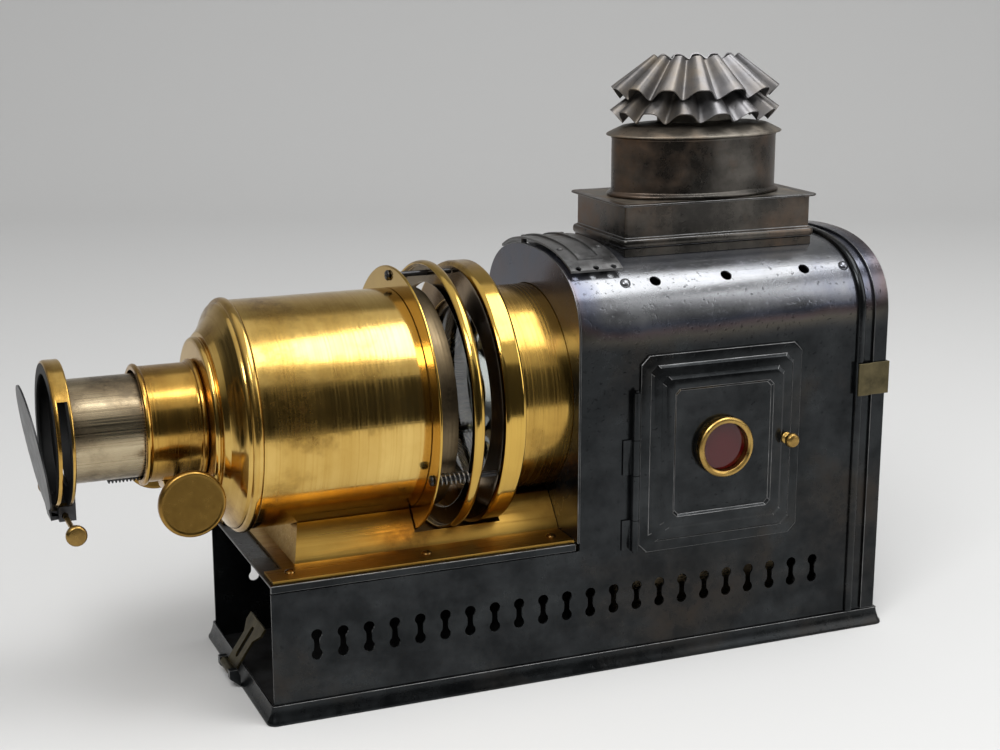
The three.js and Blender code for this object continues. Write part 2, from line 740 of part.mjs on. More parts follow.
function makeCollar() {
  const length = boxHalfLength - ironSheet - seatGap;
  const width = boxHalfWidth - ironSheet - seatGap;
  const top = boxBottom + collarLap;
  const box = (halfLength, halfWidth, low, high) => block(
    chimneyPlace - halfLength, chimneyPlace + halfLength, -halfWidth, halfWidth, low, high,
  );
  const foot = box(length + collarFlange, width + collarFlange, wallTop, boxBottom - seatGap);
  const walls = box(length, width, wallTop, top).add(foot);
  const flue = box(length - collarWall, width - collarWall, wallTop - overrun, top + overrun);
  const roof = prism(outline(houseOutline(seatGap, 0)), 'x', 0, baseLength);
  addNode('chimney_collar', walls.subtract(flue).subtract(roof), brownIron);
}

function makeChimneyBox() {
  const ring = (out, z) => rectangleRing(
    chimneyPlace - boxHalfLength - out, chimneyPlace + boxHalfLength + out, boxHalfWidth + out, z,
  );
  const topPlate = boxTop - boxFlangeThickness;
  const walls = ringLoft([
    ring(boxBead / 2, boxBottom), ring(boxBead, boxBottom + boxBeadHeight * 0.25),
    ring(boxBead, boxBottom + boxBeadHeight * 0.75), ring(0, boxBottom + boxBeadHeight),
    ring(0, topPlate), ring(boxFlange, topPlate), ring(boxFlange, boxTop),
    ring(-ironSheet, boxTop), ring(-ironSheet, boxBottom),
  ]);
  const lid = block(
    chimneyPlace - boxHalfLength - boxFlange, chimneyPlace + boxHalfLength + boxFlange,
    -boxHalfWidth - boxFlange, boxHalfWidth + boxFlange, topPlate, boxTop,
  );
  const flue = ovalPrism(ovalHalfLength - ovalWall, ovalHalfWidth - ovalWall, topPlate - overrun, boxTop + overrun);
  addNode('chimney_box', walls.add(lid.subtract(flue)), brownIron);
}

function ovalPrism(halfLength, halfWidth, low, high) {
  const ring = ovalRing(halfLength, halfWidth, 0, wideFacets).map((p) => [p.x, p.y]);
  return prism(outline(ring), 'z', low, high);
}

// The oval tube, and the brim whose neck rises inside both crowns and carries them.
function makeChimneyTube() {
  const ring = (out, z) => ovalRing(ovalHalfLength + out, ovalHalfWidth + out, z, wideFacets);
  const foot = boxTop + seatGap;
  addNode('chimney_tube', ringLoft([
    ring(ovalFoot, foot), ring(ovalFoot, foot + ovalFootHeight / 2), ring(0, foot + ovalFootHeight),
    ring(0, ovalTop), ring(-ovalWall, ovalTop), ring(-ovalWall, foot),
  ]), brownIron);
  const low = ovalTop + seatGap;
  const lip = ring(brimProud, low);
  const lipTop = ring(brimProud, low + brimThickness);
  const shoulder = ovalRing(crownBottomHalfLength - crownWaveBottom, crownBottomHalfWidth - crownWaveBottom, low + cowlRise, wideFacets);
  const neckTop = crownUpperBottom + crownRise - crownWaveTop;
  const neck = (out, z) => ovalRing(
    crownTopHalfLength - crownWaveTop + out, crownTopHalfWidth - crownWaveTop + out, z, wideFacets,
  );
  const shoulderUnder = shoulder.map((p) => p.clone().setZ(p.z - brimThickness));
  addNode('chimney_cowl', ringLoft([
    lip, lipTop, shoulder, neck(0, low + cowlRise + brimThickness), neck(0, neckTop),
    neck(-ovalWall, neckTop), neck(-ovalWall, low + cowlRise - brimThickness), shoulderUnder,
    ring(-ovalWall, low),
  ]), brownIron);
}

// A fluted cone of sheet: wide round lobes and narrow valleys that fade towards the top.
function crown(bottom, halfPitches) {
  const count = crownFlutes * fluteSteps;
  const ring = (share, side) => {
    const points = [];
    for (let i = 0; i < count; i += 1) {
      const angle = (2 * Math.PI * i) / count;
      const phase = crownFlutes * angle + Math.PI * halfPitches;
      const wave = 1 - 2 * Math.pow((1 - Math.cos(phase)) / 2, 2);
      const swing = THREE.MathUtils.lerp(crownWaveBottom, crownWaveTop, share) * wave;
      const length = THREE.MathUtils.lerp(crownBottomHalfLength, crownTopHalfLength, share);
      const width = THREE.MathUtils.lerp(crownBottomHalfWidth, crownTopHalfWidth, share);
      const [cos, sin] = [Math.cos(angle), Math.sin(angle)];
      const flat = new THREE.Vector3(cos / length, sin / width, 0).normalize();
      const run = Math.hypot(
        (crownBottomHalfLength - crownTopHalfLength) * cos, (crownBottomHalfWidth - crownTopHalfWidth) * sin,
      );
      const outward = flat.multiplyScalar(crownRise).setZ(run).normalize();
      const place = new THREE.Vector3(chimneyPlace + length * cos, width * sin, bottom + crownRise * share);
      points.push(place.addScaledVector(outward, swing + (side * crownSheet) / 2));
    }
    return points;
  };
  return ringLoft([ring(0, 1), ring(1, 1), ring(1, -1), ring(0, -1)]);
}

// Condenser and slide stage

function lensProfile(radius, edge, sag, place) {
  const sphere = (radius * radius + sag * sag) / (2 * sag);
  const profile = [[0, place], [radius, place], [radius, place + edge]];
  for (let i = 1; i <= lensSteps; i += 1) {
    const across = radius * (1 - i / lensSteps);
    const height = Math.sqrt(sphere * sphere - across * across) - (sphere - sag);
    profile.push([across, place + edge + height]);
  }
  return profile;
}

function makeCondenser() {
  const bore = condenserRadius - brassSheet;
  const start = backRingStart + backRingWall + seatGap;
  const end = houseStart + frontPlateThickness + seatGap + brassSheet;
  addNode('condenser_tube', turnedOnAxis([
    [condenserRadius, start], [condenserRadius, end - brassSheet], [condenserRadius + condenserFlange, end - brassSheet],
    [condenserRadius + condenserFlange, end], [bore, end], [bore, start],
  ], wideFacets), polishedBrass);

  const glassLength = condenserGlassEdge + condenserGlassSag;
  const frontGlass = backRingStart + backRingWall + cellLip + seatGap * 3;
  const rearGlass = frontGlass + glassLength * 2 + condenserGlassSpace;
  const inner = condenserGlassRadius + seatGap;
  const lip = condenserGlassRadius - cellLip;
  const cellStart = frontGlass - cellLip - seatGap;
  const cellEnd = rearGlass + cellLip + seatGap;
  addNode('condenser_cell', turnedOnAxis([
    [cellRadius, cellStart], [cellRadius, cellEnd], [lip, cellEnd], [lip, cellEnd - cellLip], [inner, cellEnd - cellLip],
    [inner, cellStart + cellLip], [lip, cellStart + cellLip], [lip, cellStart],
  ], middleFacets), dullBrass);
  addNode('condenser_front_lens', turnedOnAxis(
    lensProfile(condenserGlassRadius, condenserGlassEdge, condenserGlassSag, frontGlass), middleFacets,
  ), clearGlass);
  const rear = turned(
    lensProfile(condenserGlassRadius, condenserGlassEdge, condenserGlassSag, 0), middleFacets,
    [rearGlass, 0, opticalHeight], alongX.clone().negate(),
  );
  addNode('condenser_rear_lens', rear, clearGlass);
}

function rodPlace(angle) {
  const turn = THREE.MathUtils.degToRad(angle);
  return [0, rodCircle * Math.cos(turn), opticalHeight + rodCircle * Math.sin(turn)];
}

function makeStage() {
  const backFace = backRingStart + backRingWall;
  addNode('stage_back_ring', turnedOnAxis([
    [backRingBore, backRingStart + 0.3 * backRingWall], [backRingRadius - backRingWall / 2, backRingStart],
    [backRingRadius, backRingStart + backRingWall / 2], [backRingRadius, backRingEnd - backRingWall / 2],
    [backRingRadius - backRingWall / 2, backRingEnd], [backRingRadius - backRingWall, backRingEnd],
    [backRingRadius - backRingWall, backFace], [backRingBore, backFace],
  ], wideFacets), polishedBrass);

  const holes = (start, end) => rodAngles.map(
    (angle) => rod(rodRadius + seatGap, start - overrun, end + overrun, tinyFacets, rodPlace(angle), alongX),
  );
  const flangeBack = flangeStart + flangeThickness;
  const flange = turnedOnAxis([
    [shortRingRadius - brassSheet, flangeStart], [flangeRadius, flangeStart], [flangeRadius, flangeBack],
    [shortRingRadius, flangeBack], [shortRingRadius, shortRingEnd], [shortRingRadius - brassSheet, shortRingEnd],
  ], wideFacets);
  addNode('stage_front_flange', cutBy(flange, holes(flangeStart, flangeBack)), polishedBrass);

  const middle = (plateStart + plateEnd) / 2;
  const rimWall = (plateEnd - plateStart) / 3;
  const plate = turnedOnAxis([
    [plateBore, middle], [plateRadius - rimWall, middle], [plateRadius - rimWall, plateStart],
    [plateRadius - rimWall / 3, plateStart + rimWall / 3], [plateRadius, middle],
    [plateRadius - rimWall / 3, plateEnd - rimWall / 3], [plateRadius - rimWall, plateEnd], [plateBore, plateEnd],
  ], wideFacets);
  addNode('pressure_plate', cutBy(plate, holes(plateStart, plateEnd)), polishedBrass);

  rodAngles.forEach((angle, i) => {
    const head = flangeStart - seatGap;
    addNode(`stage_rod_${rodNames[i]}`, turned([
      [0, head - rodHeadHeight], [rodHeadRadius * 0.7, head - rodHeadHeight], [rodHeadRadius, head - rodHeadHeight / 2],
      [rodHeadRadius, head], [rodRadius, head], [rodRadius, backRingStart - seatGap], [0, backRingStart - seatGap],
    ], tinyFacets, rodPlace(angle), alongX), darkSteel);
  });
  makeSprings(flangeBack + seatGap, middle - seatGap);
}

// Each spring is one unbroken wire about its rod, with a straight end square to each plate.
function makeSprings(start, end) {
  const stub = springWireRadius * 2;
  const steps = springCurls * curlSteps;
  const rise = (end - start - stub * 2) / steps;
  [1, 2].forEach((which) => {
    const [, y, z] = rodPlace(rodAngles[which]);
    const centre = [];
    centre.push(new THREE.Vector3(start, y + springCoilRadius, z));
    for (let i = 0; i <= steps; i += 1) {
      const turn = (2 * Math.PI * i) / curlSteps;
      centre.push(new THREE.Vector3(
        start + stub + i * rise, y + springCoilRadius * Math.cos(turn), z + springCoilRadius * Math.sin(turn),
      ));
    }
    centre.push(new THREE.Vector3(end, y + springCoilRadius, z));
    addNode(`stage_spring_${rodNames[which]}`, tubeAlong(centre, springWireRadius, wireSides, alongX), darkSteel);
  });
  const least = rise * curlSteps - springWireRadius * 2;
  console.log(`stage springs: least gap between curls ${least.toFixed(2)} mm`);
}

// A tube of few sides along a chain of points; its end rings are square to endDirection.
function tubeAlong(points, radius, sides, endDirection) {
  const rings = points.map((point, i) => {
    const before = points[Math.max(0, i - 1)];
    const after = points[Math.min(points.length - 1, i + 1)];
    const atEnd = i === 0 || i === points.length - 1;
    const along = atEnd ? endDirection.clone() : after.clone().sub(before).normalize();
    const side = new THREE.Vector3().crossVectors(along, springSide(point, points)).normalize();
    const up = new THREE.Vector3().crossVectors(side, along).normalize();
    const ring = [];
    for (let j = 0; j < sides; j += 1) {
      const turn = (2 * Math.PI * j) / sides;
      const offset = side.clone().multiplyScalar(radius * Math.cos(turn)).addScaledVector(up, radius * Math.sin(turn));
      ring.push(point.clone().add(offset));
    }
    return ring;
  });
  const positions = rings.flat().flatMap((p) => [p.x, p.y, p.z]);
  const index = [];
  for (let i = 0; i + 1 < rings.length; i += 1) {
    for (let j = 0; j < sides; j += 1) {
      const k = (j + 1) % sides;
      const [a, b, c, d] = [i * sides + j, i * sides + k, (i + 1) * sides + k, (i + 1) * sides + j];
      index.push(a, b, c, a, c, d);
    }
  }
  const last = (rings.length - 1) * sides;
  for (let j = 1; j + 1 < sides; j += 1) {
    index.push(0, j + 1, j, last, last + j, last + j + 1);
  }
  const geometry = new THREE.BufferGeometry();
  geometry.setAttribute('position', new THREE.Float32BufferAttribute(positions, 3));
  geometry.setIndex(index);
  return solidOf(geometry);
}

// The direction from a coil's own axis, which runs along x, to a point of its wire.
function springSide(point, points) {
  const first = points[0];
  return new THREE.Vector3(0, point.y - (first.y - springCoilRadius), point.z - first.z).normalize();
}

// Barrel, nose and focusing lens

function makeBarrel() {
  const bore = barrelRadius - brassSheet;
  addNode('barrel', turnedOnAxis([
    [barrelRadius, 0], [barrelRadius, flangeStart - seatGap], [bore, flangeStart - seatGap], [bore, 0],
  ], wideFacets), polishedBrass);

  const skirt = bore - seatGap;
  const front = -noseLength;
  const neck = jacketRadius + seatGap;
  const wall = brassSheet * 1.6;
  const sweepShares = [[0.9, 0.3], [0.55, 0.5], [0.2, 0.72]]; // of the step and of the length
  const step = noseBeadRadius - noseRingRadius;
  const sweep = sweepShares.map(([out, along]) => [noseRingRadius + step * out, front * along]);
  addNode('barrel_nose', turnedOnAxis([
    [skirt - wall, noseSkirt], [skirt, noseSkirt], [skirt, -seatGap], [noseBeadRadius - seatGap * 3, -seatGap],
    [noseBeadRadius, -noseBeadWidth * 0.3], [noseBeadRadius, -noseBeadWidth * 0.7], ...sweep,
    [noseRingRadius, front + noseRingWidth], [noseRingRadius, front + noseRingWidth * 0.3],
    [noseRingRadius - wall, front], [neck, front], [neck, front + wall],
    [noseRingRadius - wall * 1.6, front + wall], [noseRingRadius - wall, front + noseRingWidth],
    [skirt - wall, -noseBeadWidth],
  ], wideFacets), polishedBrass);
}

const rackPitchRadius = tubeRadius + seatGap + rackBase + toothModule * 1.2;
const pinionRadius = (toothModule * pinionTeeth) / 2;
const shaftHeight = opticalHeight - rackPitchRadius - pinionRadius;

function makeJacket() {
  const bore = jacketRadius - jacketWall;
  const bead = (start) => [
    [jacketRadius, start], [jacketRadius + jacketBead, start + jacketBeadWidth * 0.25],
    [jacketRadius + jacketBead, start + jacketBeadWidth * 0.75], [jacketRadius, start + jacketBeadWidth],
  ];
  const rearBead = -noseLength - seatGap - jacketBeadWidth;
  const jacket = turnedOnAxis([
    [bore, jacketFront], ...bead(jacketFront), ...bead(rearBead),
    [jacketRadius, jacketRear], [bore, jacketRear],
  ], middleFacets);
  const groove = rackWidth / 2 + seatGap * 2;
  const tips = rackPitchRadius + toothModule + seatGap / 2;
  const channel = block(jacketFront - overrun, jacketRear + overrun, -groove, groove, opticalHeight - tips, opticalHeight);
  const window = block(
    pinionPlace - pinionRadius - toothModule * 2, pinionPlace + pinionRadius + toothModule * 2,
    -bracketCheekGap * 2, bracketCheekGap * 2, shaftHeight - pinionRadius, opticalHeight,
  );
  addNode('lens_jacket', cutBy(jacket, [channel, window]), polishedBrass);

  const cheekEnd = bracketCheekGap + bracketCheekWidth;
  const shape = outline([
    [pinionPlace - bracketLength / 2, opticalHeight - jacketRadius * 0.8], [pinionPlace - bracketDrop, shaftHeight - bracketDrop],
    [pinionPlace + bracketDrop, shaftHeight - bracketDrop], [pinionPlace + bracketLength / 2, opticalHeight - jacketRadius * 0.8],
  ]);
  const barrelOf = turned(
    [[0, jacketFront], [jacketRadius + seatGap, jacketFront], [jacketRadius + seatGap, jacketRear], [0, jacketRear]],
    middleFacets, [0, 0, opticalHeight], alongX,
  );
  const shaftBore = rod(pinionShaftRadius + seatGap, -cheekEnd * 2, cheekEnd * 2, smallFacets, [pinionPlace, 0, shaftHeight], alongY);
  const well = block(
    pinionPlace - pinionRadius - toothModule * 2, pinionPlace + pinionRadius + toothModule * 2,
    -bracketCheekGap, bracketCheekGap, shaftHeight - pinionRadius - toothModule * 2, opticalHeight,
  );
  addNode('pinion_bracket', cutBy(prism(shape, 'y', -cheekEnd, cheekEnd), [barrelOf, shaftBore, well]), polishedBrass);
}

function makeDrawTube() {
  const bore = tubeRadius - brassSheet;
  addNode('draw_tube', turnedOnAxis([
    [tubeRadius, tubeFront], [tubeRadius, tubeRear], [bore, tubeRear], [bore, tubeFront],
  ], middleFacets), dullBrass);

  const root = rackPitchRadius - toothModule * 1.2;
  const tip = rackPitchRadius + toothModule * 0.9;
  const pitch = Math.PI * toothModule;
  const mesh = pinionPlace - Math.round((pinionPlace - rackFront) / pitch) * pitch;
  const teeth = [[mesh - pitch / 2, opticalHeight - tubeRadius - seatGap]];
  for (let i = 0; i < rackTeeth; i += 1) {
    const centre = mesh + i * pitch;
    const toothShares = [[-0.38, root], [-0.12, tip], [0.12, tip], [0.38, root]]; // of the pitch
    toothShares.forEach(([along, depth]) => teeth.push([centre + along * pitch, opticalHeight - depth]));
  }
  teeth.push([mesh + (rackTeeth - 0.5) * pitch, opticalHeight - tubeRadius - seatGap]);
  addNode('focus_rack', prism(outline(teeth), 'y', -rackWidth / 2, rackWidth / 2), darkSteel);

  const seat = tubeRadius + seatGap;
  const hood = turnedOnAxis([
    [seat, hoodRear - hoodWall], [hoodRadius - hoodWall, hoodRear - hoodWall],
    [hoodRadius - hoodWall, hoodFront + hoodWall], [hoodMouth, hoodFront + hoodWall], [hoodMouth, hoodFront],
    [hoodRadius, hoodFront], [hoodRadius, hoodRear], [seat, hoodRear],
  ], wideFacets);
  const slot = block(
    hoodSlotStart, hoodSlotEnd, -hoodRadius - overrun, -hoodRadius * 0.12,
    opticalHeight - hoodRadius * 0.93, opticalHeight + hoodRadius * 0.62,
  );
  addNode('hood_ring', hood.subtract(slot), polishedBrass);

  addNode('objective_front_lens', turnedOnAxis(lensProfile(bore - seatGap, glassEdge, glassSag, frontGlassPlace), middleFacets), clearGlass);
  addNode('objective_rear_lens', turnedOnAxis(lensProfile(bore - seatGap, glassEdge, glassSag, rearGlassPlace), middleFacets), clearGlass);
}

function makePinion() {
  const points = [];
  const tip = pinionRadius + toothModule * 0.85;
  const root = pinionRadius - toothModule;
  const toothShares = [[-0.3, root], [-0.1, tip], [0.1, tip], [0.3, root]]; // of a tooth's angle
  for (let i = 0; i < pinionTeeth; i += 1) {
    for (const [share, radius] of toothShares) {
      const angle = (2 * Math.PI * (i + 0.5 + share)) / pinionTeeth + Math.PI / 2;
      points.push([pinionPlace + radius * Math.cos(angle), shaftHeight + radius * Math.sin(angle)]);
    }
  }
  const gear = prism(outline(points), 'y', -pinionWidth / 2, pinionWidth / 2);
  const reach = wheelOffset + wheelThickness / 2 - seatGap;
  const shaft = rod(pinionShaftRadius, -reach, reach, smallFacets, [pinionPlace, 0, shaftHeight], alongY);
  addNode('pinion_shaft', gear.add(shaft), darkSteel);

  const bore = pinionShaftRadius + seatGap / 2;
  const outer = wheelOffset + wheelThickness;
  const profile = [
    [0, outer], [wheelRadius - wheelRimStep * 2, outer], [wheelRadius, outer - wheelRimStep],
    [wheelRadius, wheelOffset + wheelRimStep], [wheelRadius - wheelRimStep, wheelOffset],
    [wheelBossRadius * 1.5, wheelOffset], [wheelBossRadius, wheelOffset - wheelBossHeight * 0.4],
    [wheelBossRadius * 0.6, wheelOffset - wheelBossHeight], [bore, wheelOffset - wheelBossHeight],
    [bore, wheelOffset + wheelThickness / 2], [0, wheelOffset + wheelThickness / 2],
  ];
  const wheel = (direction) => turned(profile, middleFacets, [pinionPlace, 0, shaftHeight], direction);
  addNode('focus_wheel_left', wheel(alongY.clone().negate()), satinBrass);
  addNode('focus_wheel_right', wheel(alongY), satinBrass);
}

// The flap hangs on a pin under the hood, with a turned knob at each end of the pin.
function makeFlap() {
  const pinZ = opticalHeight - hoodRadius - flapPinDrop - flapPinRadius;
  const face = hoodFront - seatGap * 2;
  const bracketHalf = flapLugWidth / 2 + seatGap;
  const bracketFoot = pinZ - flapPinRadius * 2.4;
  const bracketTop = opticalHeight - hoodRadius * 0.9;
  const yokeStart = hoodRear + seatGap;
  const yokeEnd = yokeStart + brassSheet * 1.5;
  const ears = [-1, 1].map((side) => {
    const near = side < 0 ? -bracketHalf - flapBracketWidth : bracketHalf;
    return block(flapPinX - flapPinRadius * 2.4, yokeEnd, near, near + flapBracketWidth, bracketFoot, bracketTop);
  });
  const clear = turnedOnAxis([
    [0, hoodFront - overrun], [hoodRadius + seatGap, hoodFront - overrun], [hoodRadius + seatGap, yokeStart], [0, yokeStart],
  ], wideFacets);
  const tubeClear = turnedRod(tubeRadius + seatGap, yokeStart - overrun, yokeEnd + overrun);
  const pinBore = rod(flapPinRadius + seatGap, -flapPinHalf, flapPinHalf, smallFacets, [flapPinX, 0, pinZ], alongY);
  const yokeHalf = bracketHalf + flapBracketWidth;
  const yoke = block(yokeStart, yokeEnd, -yokeHalf, yokeHalf, bracketFoot, opticalHeight - tubeRadius * 0.9);
  addNode('hood_bracket', cutBy(joined([...ears, yoke]), [clear, tubeClear, pinBore]), darkSteel);

  const profile = [
    [0, flapPinHalf + flapKnobLength], [flapKnobRadius * 0.55, flapPinHalf + flapKnobLength],
    [flapKnobRadius, flapPinHalf + flapKnobLength * 0.8], [flapKnobRadius, flapPinHalf + flapKnobLength * 0.45],
    [flapKnobRadius * 0.45, flapPinHalf + flapKnobLength * 0.3], [flapKnobRadius * 0.6, flapPinHalf],
    [flapPinRadius, flapPinHalf], [flapPinRadius, 0], [0, 0],
  ];
  const half = (direction) => turned(profile, smallFacets, [flapPinX, 0, pinZ], direction);
  addNode('flap_shaft', half(alongY).add(half(alongY.clone().negate())), satinBrass);

  // The flap is drawn shut against the hood and then turned open about its pin.
  const centre = pinZ + flapRadius + flapPinRadius * 2.5;
  const disc = new THREE.Shape();
  const lug = flapLugWidth / 2;
  const meet = Math.asin(lug / flapRadius);
  disc.moveTo(-lug, pinZ);
  disc.lineTo(lug, pinZ);
  disc.absarc(0, centre, flapRadius, -Math.PI / 2 + meet, 1.5 * Math.PI - meet, false);
  const geometry = new THREE.ExtrudeGeometry(disc, { depth: flapThickness, bevelEnabled: false, curveSegments: middleFacets });
  const stand = new THREE.Matrix4().makeBasis(alongY, alongZ, alongX).setPosition(face - flapThickness, 0, 0);
  const arm = new THREE.Shape([
    [face - flapThickness, pinZ - flapPinRadius * 2], [flapPinX, pinZ - flapPinRadius * 2.2], [flapPinX, pinZ + flapPinRadius * 0.5],
    [face - flapThickness, pinZ + flapPinRadius * 2],
  ].map(([x, z]) => new THREE.Vector2(x, z)));
  const armGeometry = new THREE.ExtrudeGeometry(arm, { depth: flapLugWidth, bevelEnabled: false });
  const armStand = new THREE.Matrix4().makeBasis(alongX, alongZ, alongY.clone().negate()).setPosition(0, lug, 0);
  const swing = new THREE.Matrix4().makeTranslation(flapPinX, 0, pinZ)
    .multiply(new THREE.Matrix4().makeRotationY(THREE.MathUtils.degToRad(-flapOpen)))
    .multiply(new THREE.Matrix4().makeTranslation(-flapPinX, 0, -pinZ));
  const plate = solidOf(geometry.applyMatrix4(swing.clone().multiply(stand)));
  const strap = solidOf(armGeometry.applyMatrix4(swing.clone().multiply(armStand)));
  const eye = rod(flapPinRadius + seatGap / 2, -flapLugWidth, flapLugWidth, smallFacets, [flapPinX, 0, pinZ], alongY);
  addNode('flap_disc', plate.add(strap).subtract(eye), darkSteel);
}

// Saddle

function makeSaddle() {
  const bottom = shelfTop + seatGap / 2;
  const top = bottom + saddleFlange;
  const end = houseStart - seatGap;
  const flange = prism(outline([
    [saddleFlangeFront, -saddleFlangeHalf], [end, -saddleFlangeHalf], [end, saddleFlangeHalf],
    [saddleFlangeFront, saddleFlangeHalf], [saddleFlangeFront, saddleNoseHalf], [saddleNose, saddleNoseHalf],
    [saddleNose, -saddleNoseHalf], [saddleFlangeFront, -saddleNoseHalf],
  ]), 'z', bottom, top);
  const foot = rectangleRing(saddleFrontFoot, end, saddleFoot, bottom);
  const ridge = rectangleRing(saddleFrontTop, end, saddleTopHalf, saddleTop);
  const hip = ringLoftClosed([foot, ridge]);
  const barrelBed = turnedRod(barrelRadius + seatGap, -overrun, flangeStart);
  const stageWell = turnedRod(plateRadius + seatGap, flangeStart - seatGap * 2, backRingEnd + seatGap * 2);
  const tubeBed = turnedRod(condenserRadius + seatGap, backRingEnd, houseStart);
  const screws = [];
  for (const side of [-1, 1]) {
    for (const place of saddleScrewPlaces) {
      const spot = [place, side * saddleScrewOffset, top - saddleFlange / 2];
      screws.push(turned(domeProfile(screwRadius, screwHeight + saddleFlange / 2), tinyFacets, spot, alongZ));
    }
  }
  const body = cutBy(flange.add(hip), [barrelBed, stageWell, tubeBed]);
  addNode('saddle', joined([body, ...screws]), satinGold());
}

function satinGold() {
  return { ...polishedBrass, color: '#a9853f', roughness: 0.35 };
}

// A solid between two rings that are both capped.
function ringLoftClosed([low, high]) {
  const positions = [...low, ...high].flatMap((p) => [p.x, p.y, p.z]);
  const count = low.length;
  const index = [];
  for (let j = 0; j < count; j += 1) {
    const k = (j + 1) % count;
    index.push(j, k, count + k, j, count + k, count + j);
  }
  for (let j = 1; j + 1 < count; j += 1) index.push(0, j + 1, j, count, count + j, count + j + 1);
  const geometry = new THREE.BufferGeometry();
  geometry.setAttribute('position', new THREE.Float32BufferAttribute(positions, 3));
  geometry.setIndex(index);
  return solidOf(geometry);
}

// Side door

function chamfered(inset) {
  const [x0, x1, z0, z1] = [doorStart + inset, doorEnd - inset, doorBottom + inset, doorTop - inset];
  const c = doorChamfer;
  return outline([
    [x0 + c, z0], [x1 - c, z0], [x1, z0 + c], [x1, z1 - c], [x1 - c, z1], [x0 + c, z1], [x0, z1 - c], [x0, z0 + c],
  ]);
}

function makeSideDoor() {
  const inside = -wallHalf - seatGap;
  const face = inside - doorSheet;
  const centre = (doorStart + doorEnd) / 2;
  const pinX = doorStart - hingeReach;
  const pinY = -wallHalf - hingeStandOff;
  const low = doorBottom + doorChamfer / 2;
  const high = doorTop - hingeTopInset;
  const breaks = hingeBreaksShares.map((share) => low + (high - low) * share);
  const bore = hingePinRadius + seatGap;
  const knuckle = (start, end) => turned([
    [bore, start + seatGap / 2], [hingeKnuckleRadius, start + seatGap / 2],
    [hingeKnuckleRadius, end - seatGap / 2], [bore, end - seatGap / 2],
  ], smallFacets, [pinX, pinY, 0], alongZ);
  const pinClear = (start, end) => rod(bore, start, end, smallFacets, [pinX, pinY, 0], alongZ);

  const solids = [
    prism(chamfered(0), 'y', face, inside),
    prism(chamfered(doorStepInset), 'y', face - doorStep, inside - doorSheet / 2),
    prism(chamfered(doorPanelInset), 'y', face - doorStep * 2, face),
  ];
  let door = joined(solids);
  for (const [start, end] of [[breaks[1], breaks[2]], [breaks[3], breaks[4]]]) {
    const tongue = block(pinX, doorStart + doorStepInset, face, face + hingeLeafSheet, start + seatGap / 2, end - seatGap / 2);
    door = door.add(tongue.subtract(pinClear(low, high))).add(knuckle(start, end));
  }
  const sight = rod(peepholeRadius - peepholeWall, -overrun * 2, overrun * 4, smallFacets, [centre, inside, peepholeHeight], alongY.clone().negate());
  const seat = rod(peepholeRadius + seatGap, 0, overrun * 4, middleFacets, [centre, face, peepholeHeight], alongY.clone().negate());
  addNode('side_door', door.subtract(sight).subtract(seat), gunIron);

  let leaf = rod(hingePinRadius, low - hingePinRadius, high + hingePinRadius, smallFacets, [pinX, pinY, 0], alongZ);
  for (const [start, end] of [[breaks[0], breaks[1]], [breaks[2], breaks[3]]]) {
    const tongue = block(
      pinX - hingeLeafWidth, pinX, -wallHalf - seatGap - hingeLeafSheet, -wallHalf - seatGap, start + seatGap / 2, end - seatGap / 2,
    );
    const web = block(pinX - hingeKnuckleRadius, pinX - hingeKnuckleRadius / 2, pinY, -wallHalf - seatGap, start + seatGap / 2, end - seatGap / 2);
    const solidKnuckle = rod(hingeKnuckleRadius, start + seatGap / 2, end - seatGap / 2, smallFacets, [pinX, pinY, 0], alongZ);
    leaf = leaf.add(tongue).add(web).add(solidKnuckle);
  }
  addNode('side_door_hinge', leaf, gunIron);

  const rimOut = peepholeRadius + peepholeWall / 2;
  const bevel = peepholeWall / 2;
  addNode('peephole_ring', turned([
    [peepholeRadius - peepholeWall, seatGap], [peepholeRadius, seatGap], [peepholeRadius, peepholeDepth - bevel * 2],
    [rimOut, peepholeDepth - bevel], [rimOut - bevel, peepholeDepth], [peepholeRadius - peepholeWall, peepholeDepth],
  ], middleFacets, [centre, face, peepholeHeight], alongY.clone().negate()), satinBrass);
  addNode('peephole_glass', rod(
    peepholeRadius - peepholeWall - seatGap, seatGap, seatGap + peepholeGlass, middleFacets, [centre, face, peepholeHeight], alongY.clone().negate(),
  ), redGlass);

  const knobX = doorEnd - doorKnobInset;
  addNode('side_door_knob', turned([
    [0, seatGap], [doorKnobRadius * 0.8, seatGap], [doorKnobRadius * 0.4, doorKnobLength * 0.3], [doorKnobRadius, doorKnobLength * 0.6],
    [doorKnobRadius * 0.9, doorKnobLength * 0.9], [0, doorKnobLength],
  ], smallFacets, [knobX, face - doorStep, peepholeHeight], alongY.clone().negate()), satinBrass);
}

// Rear door

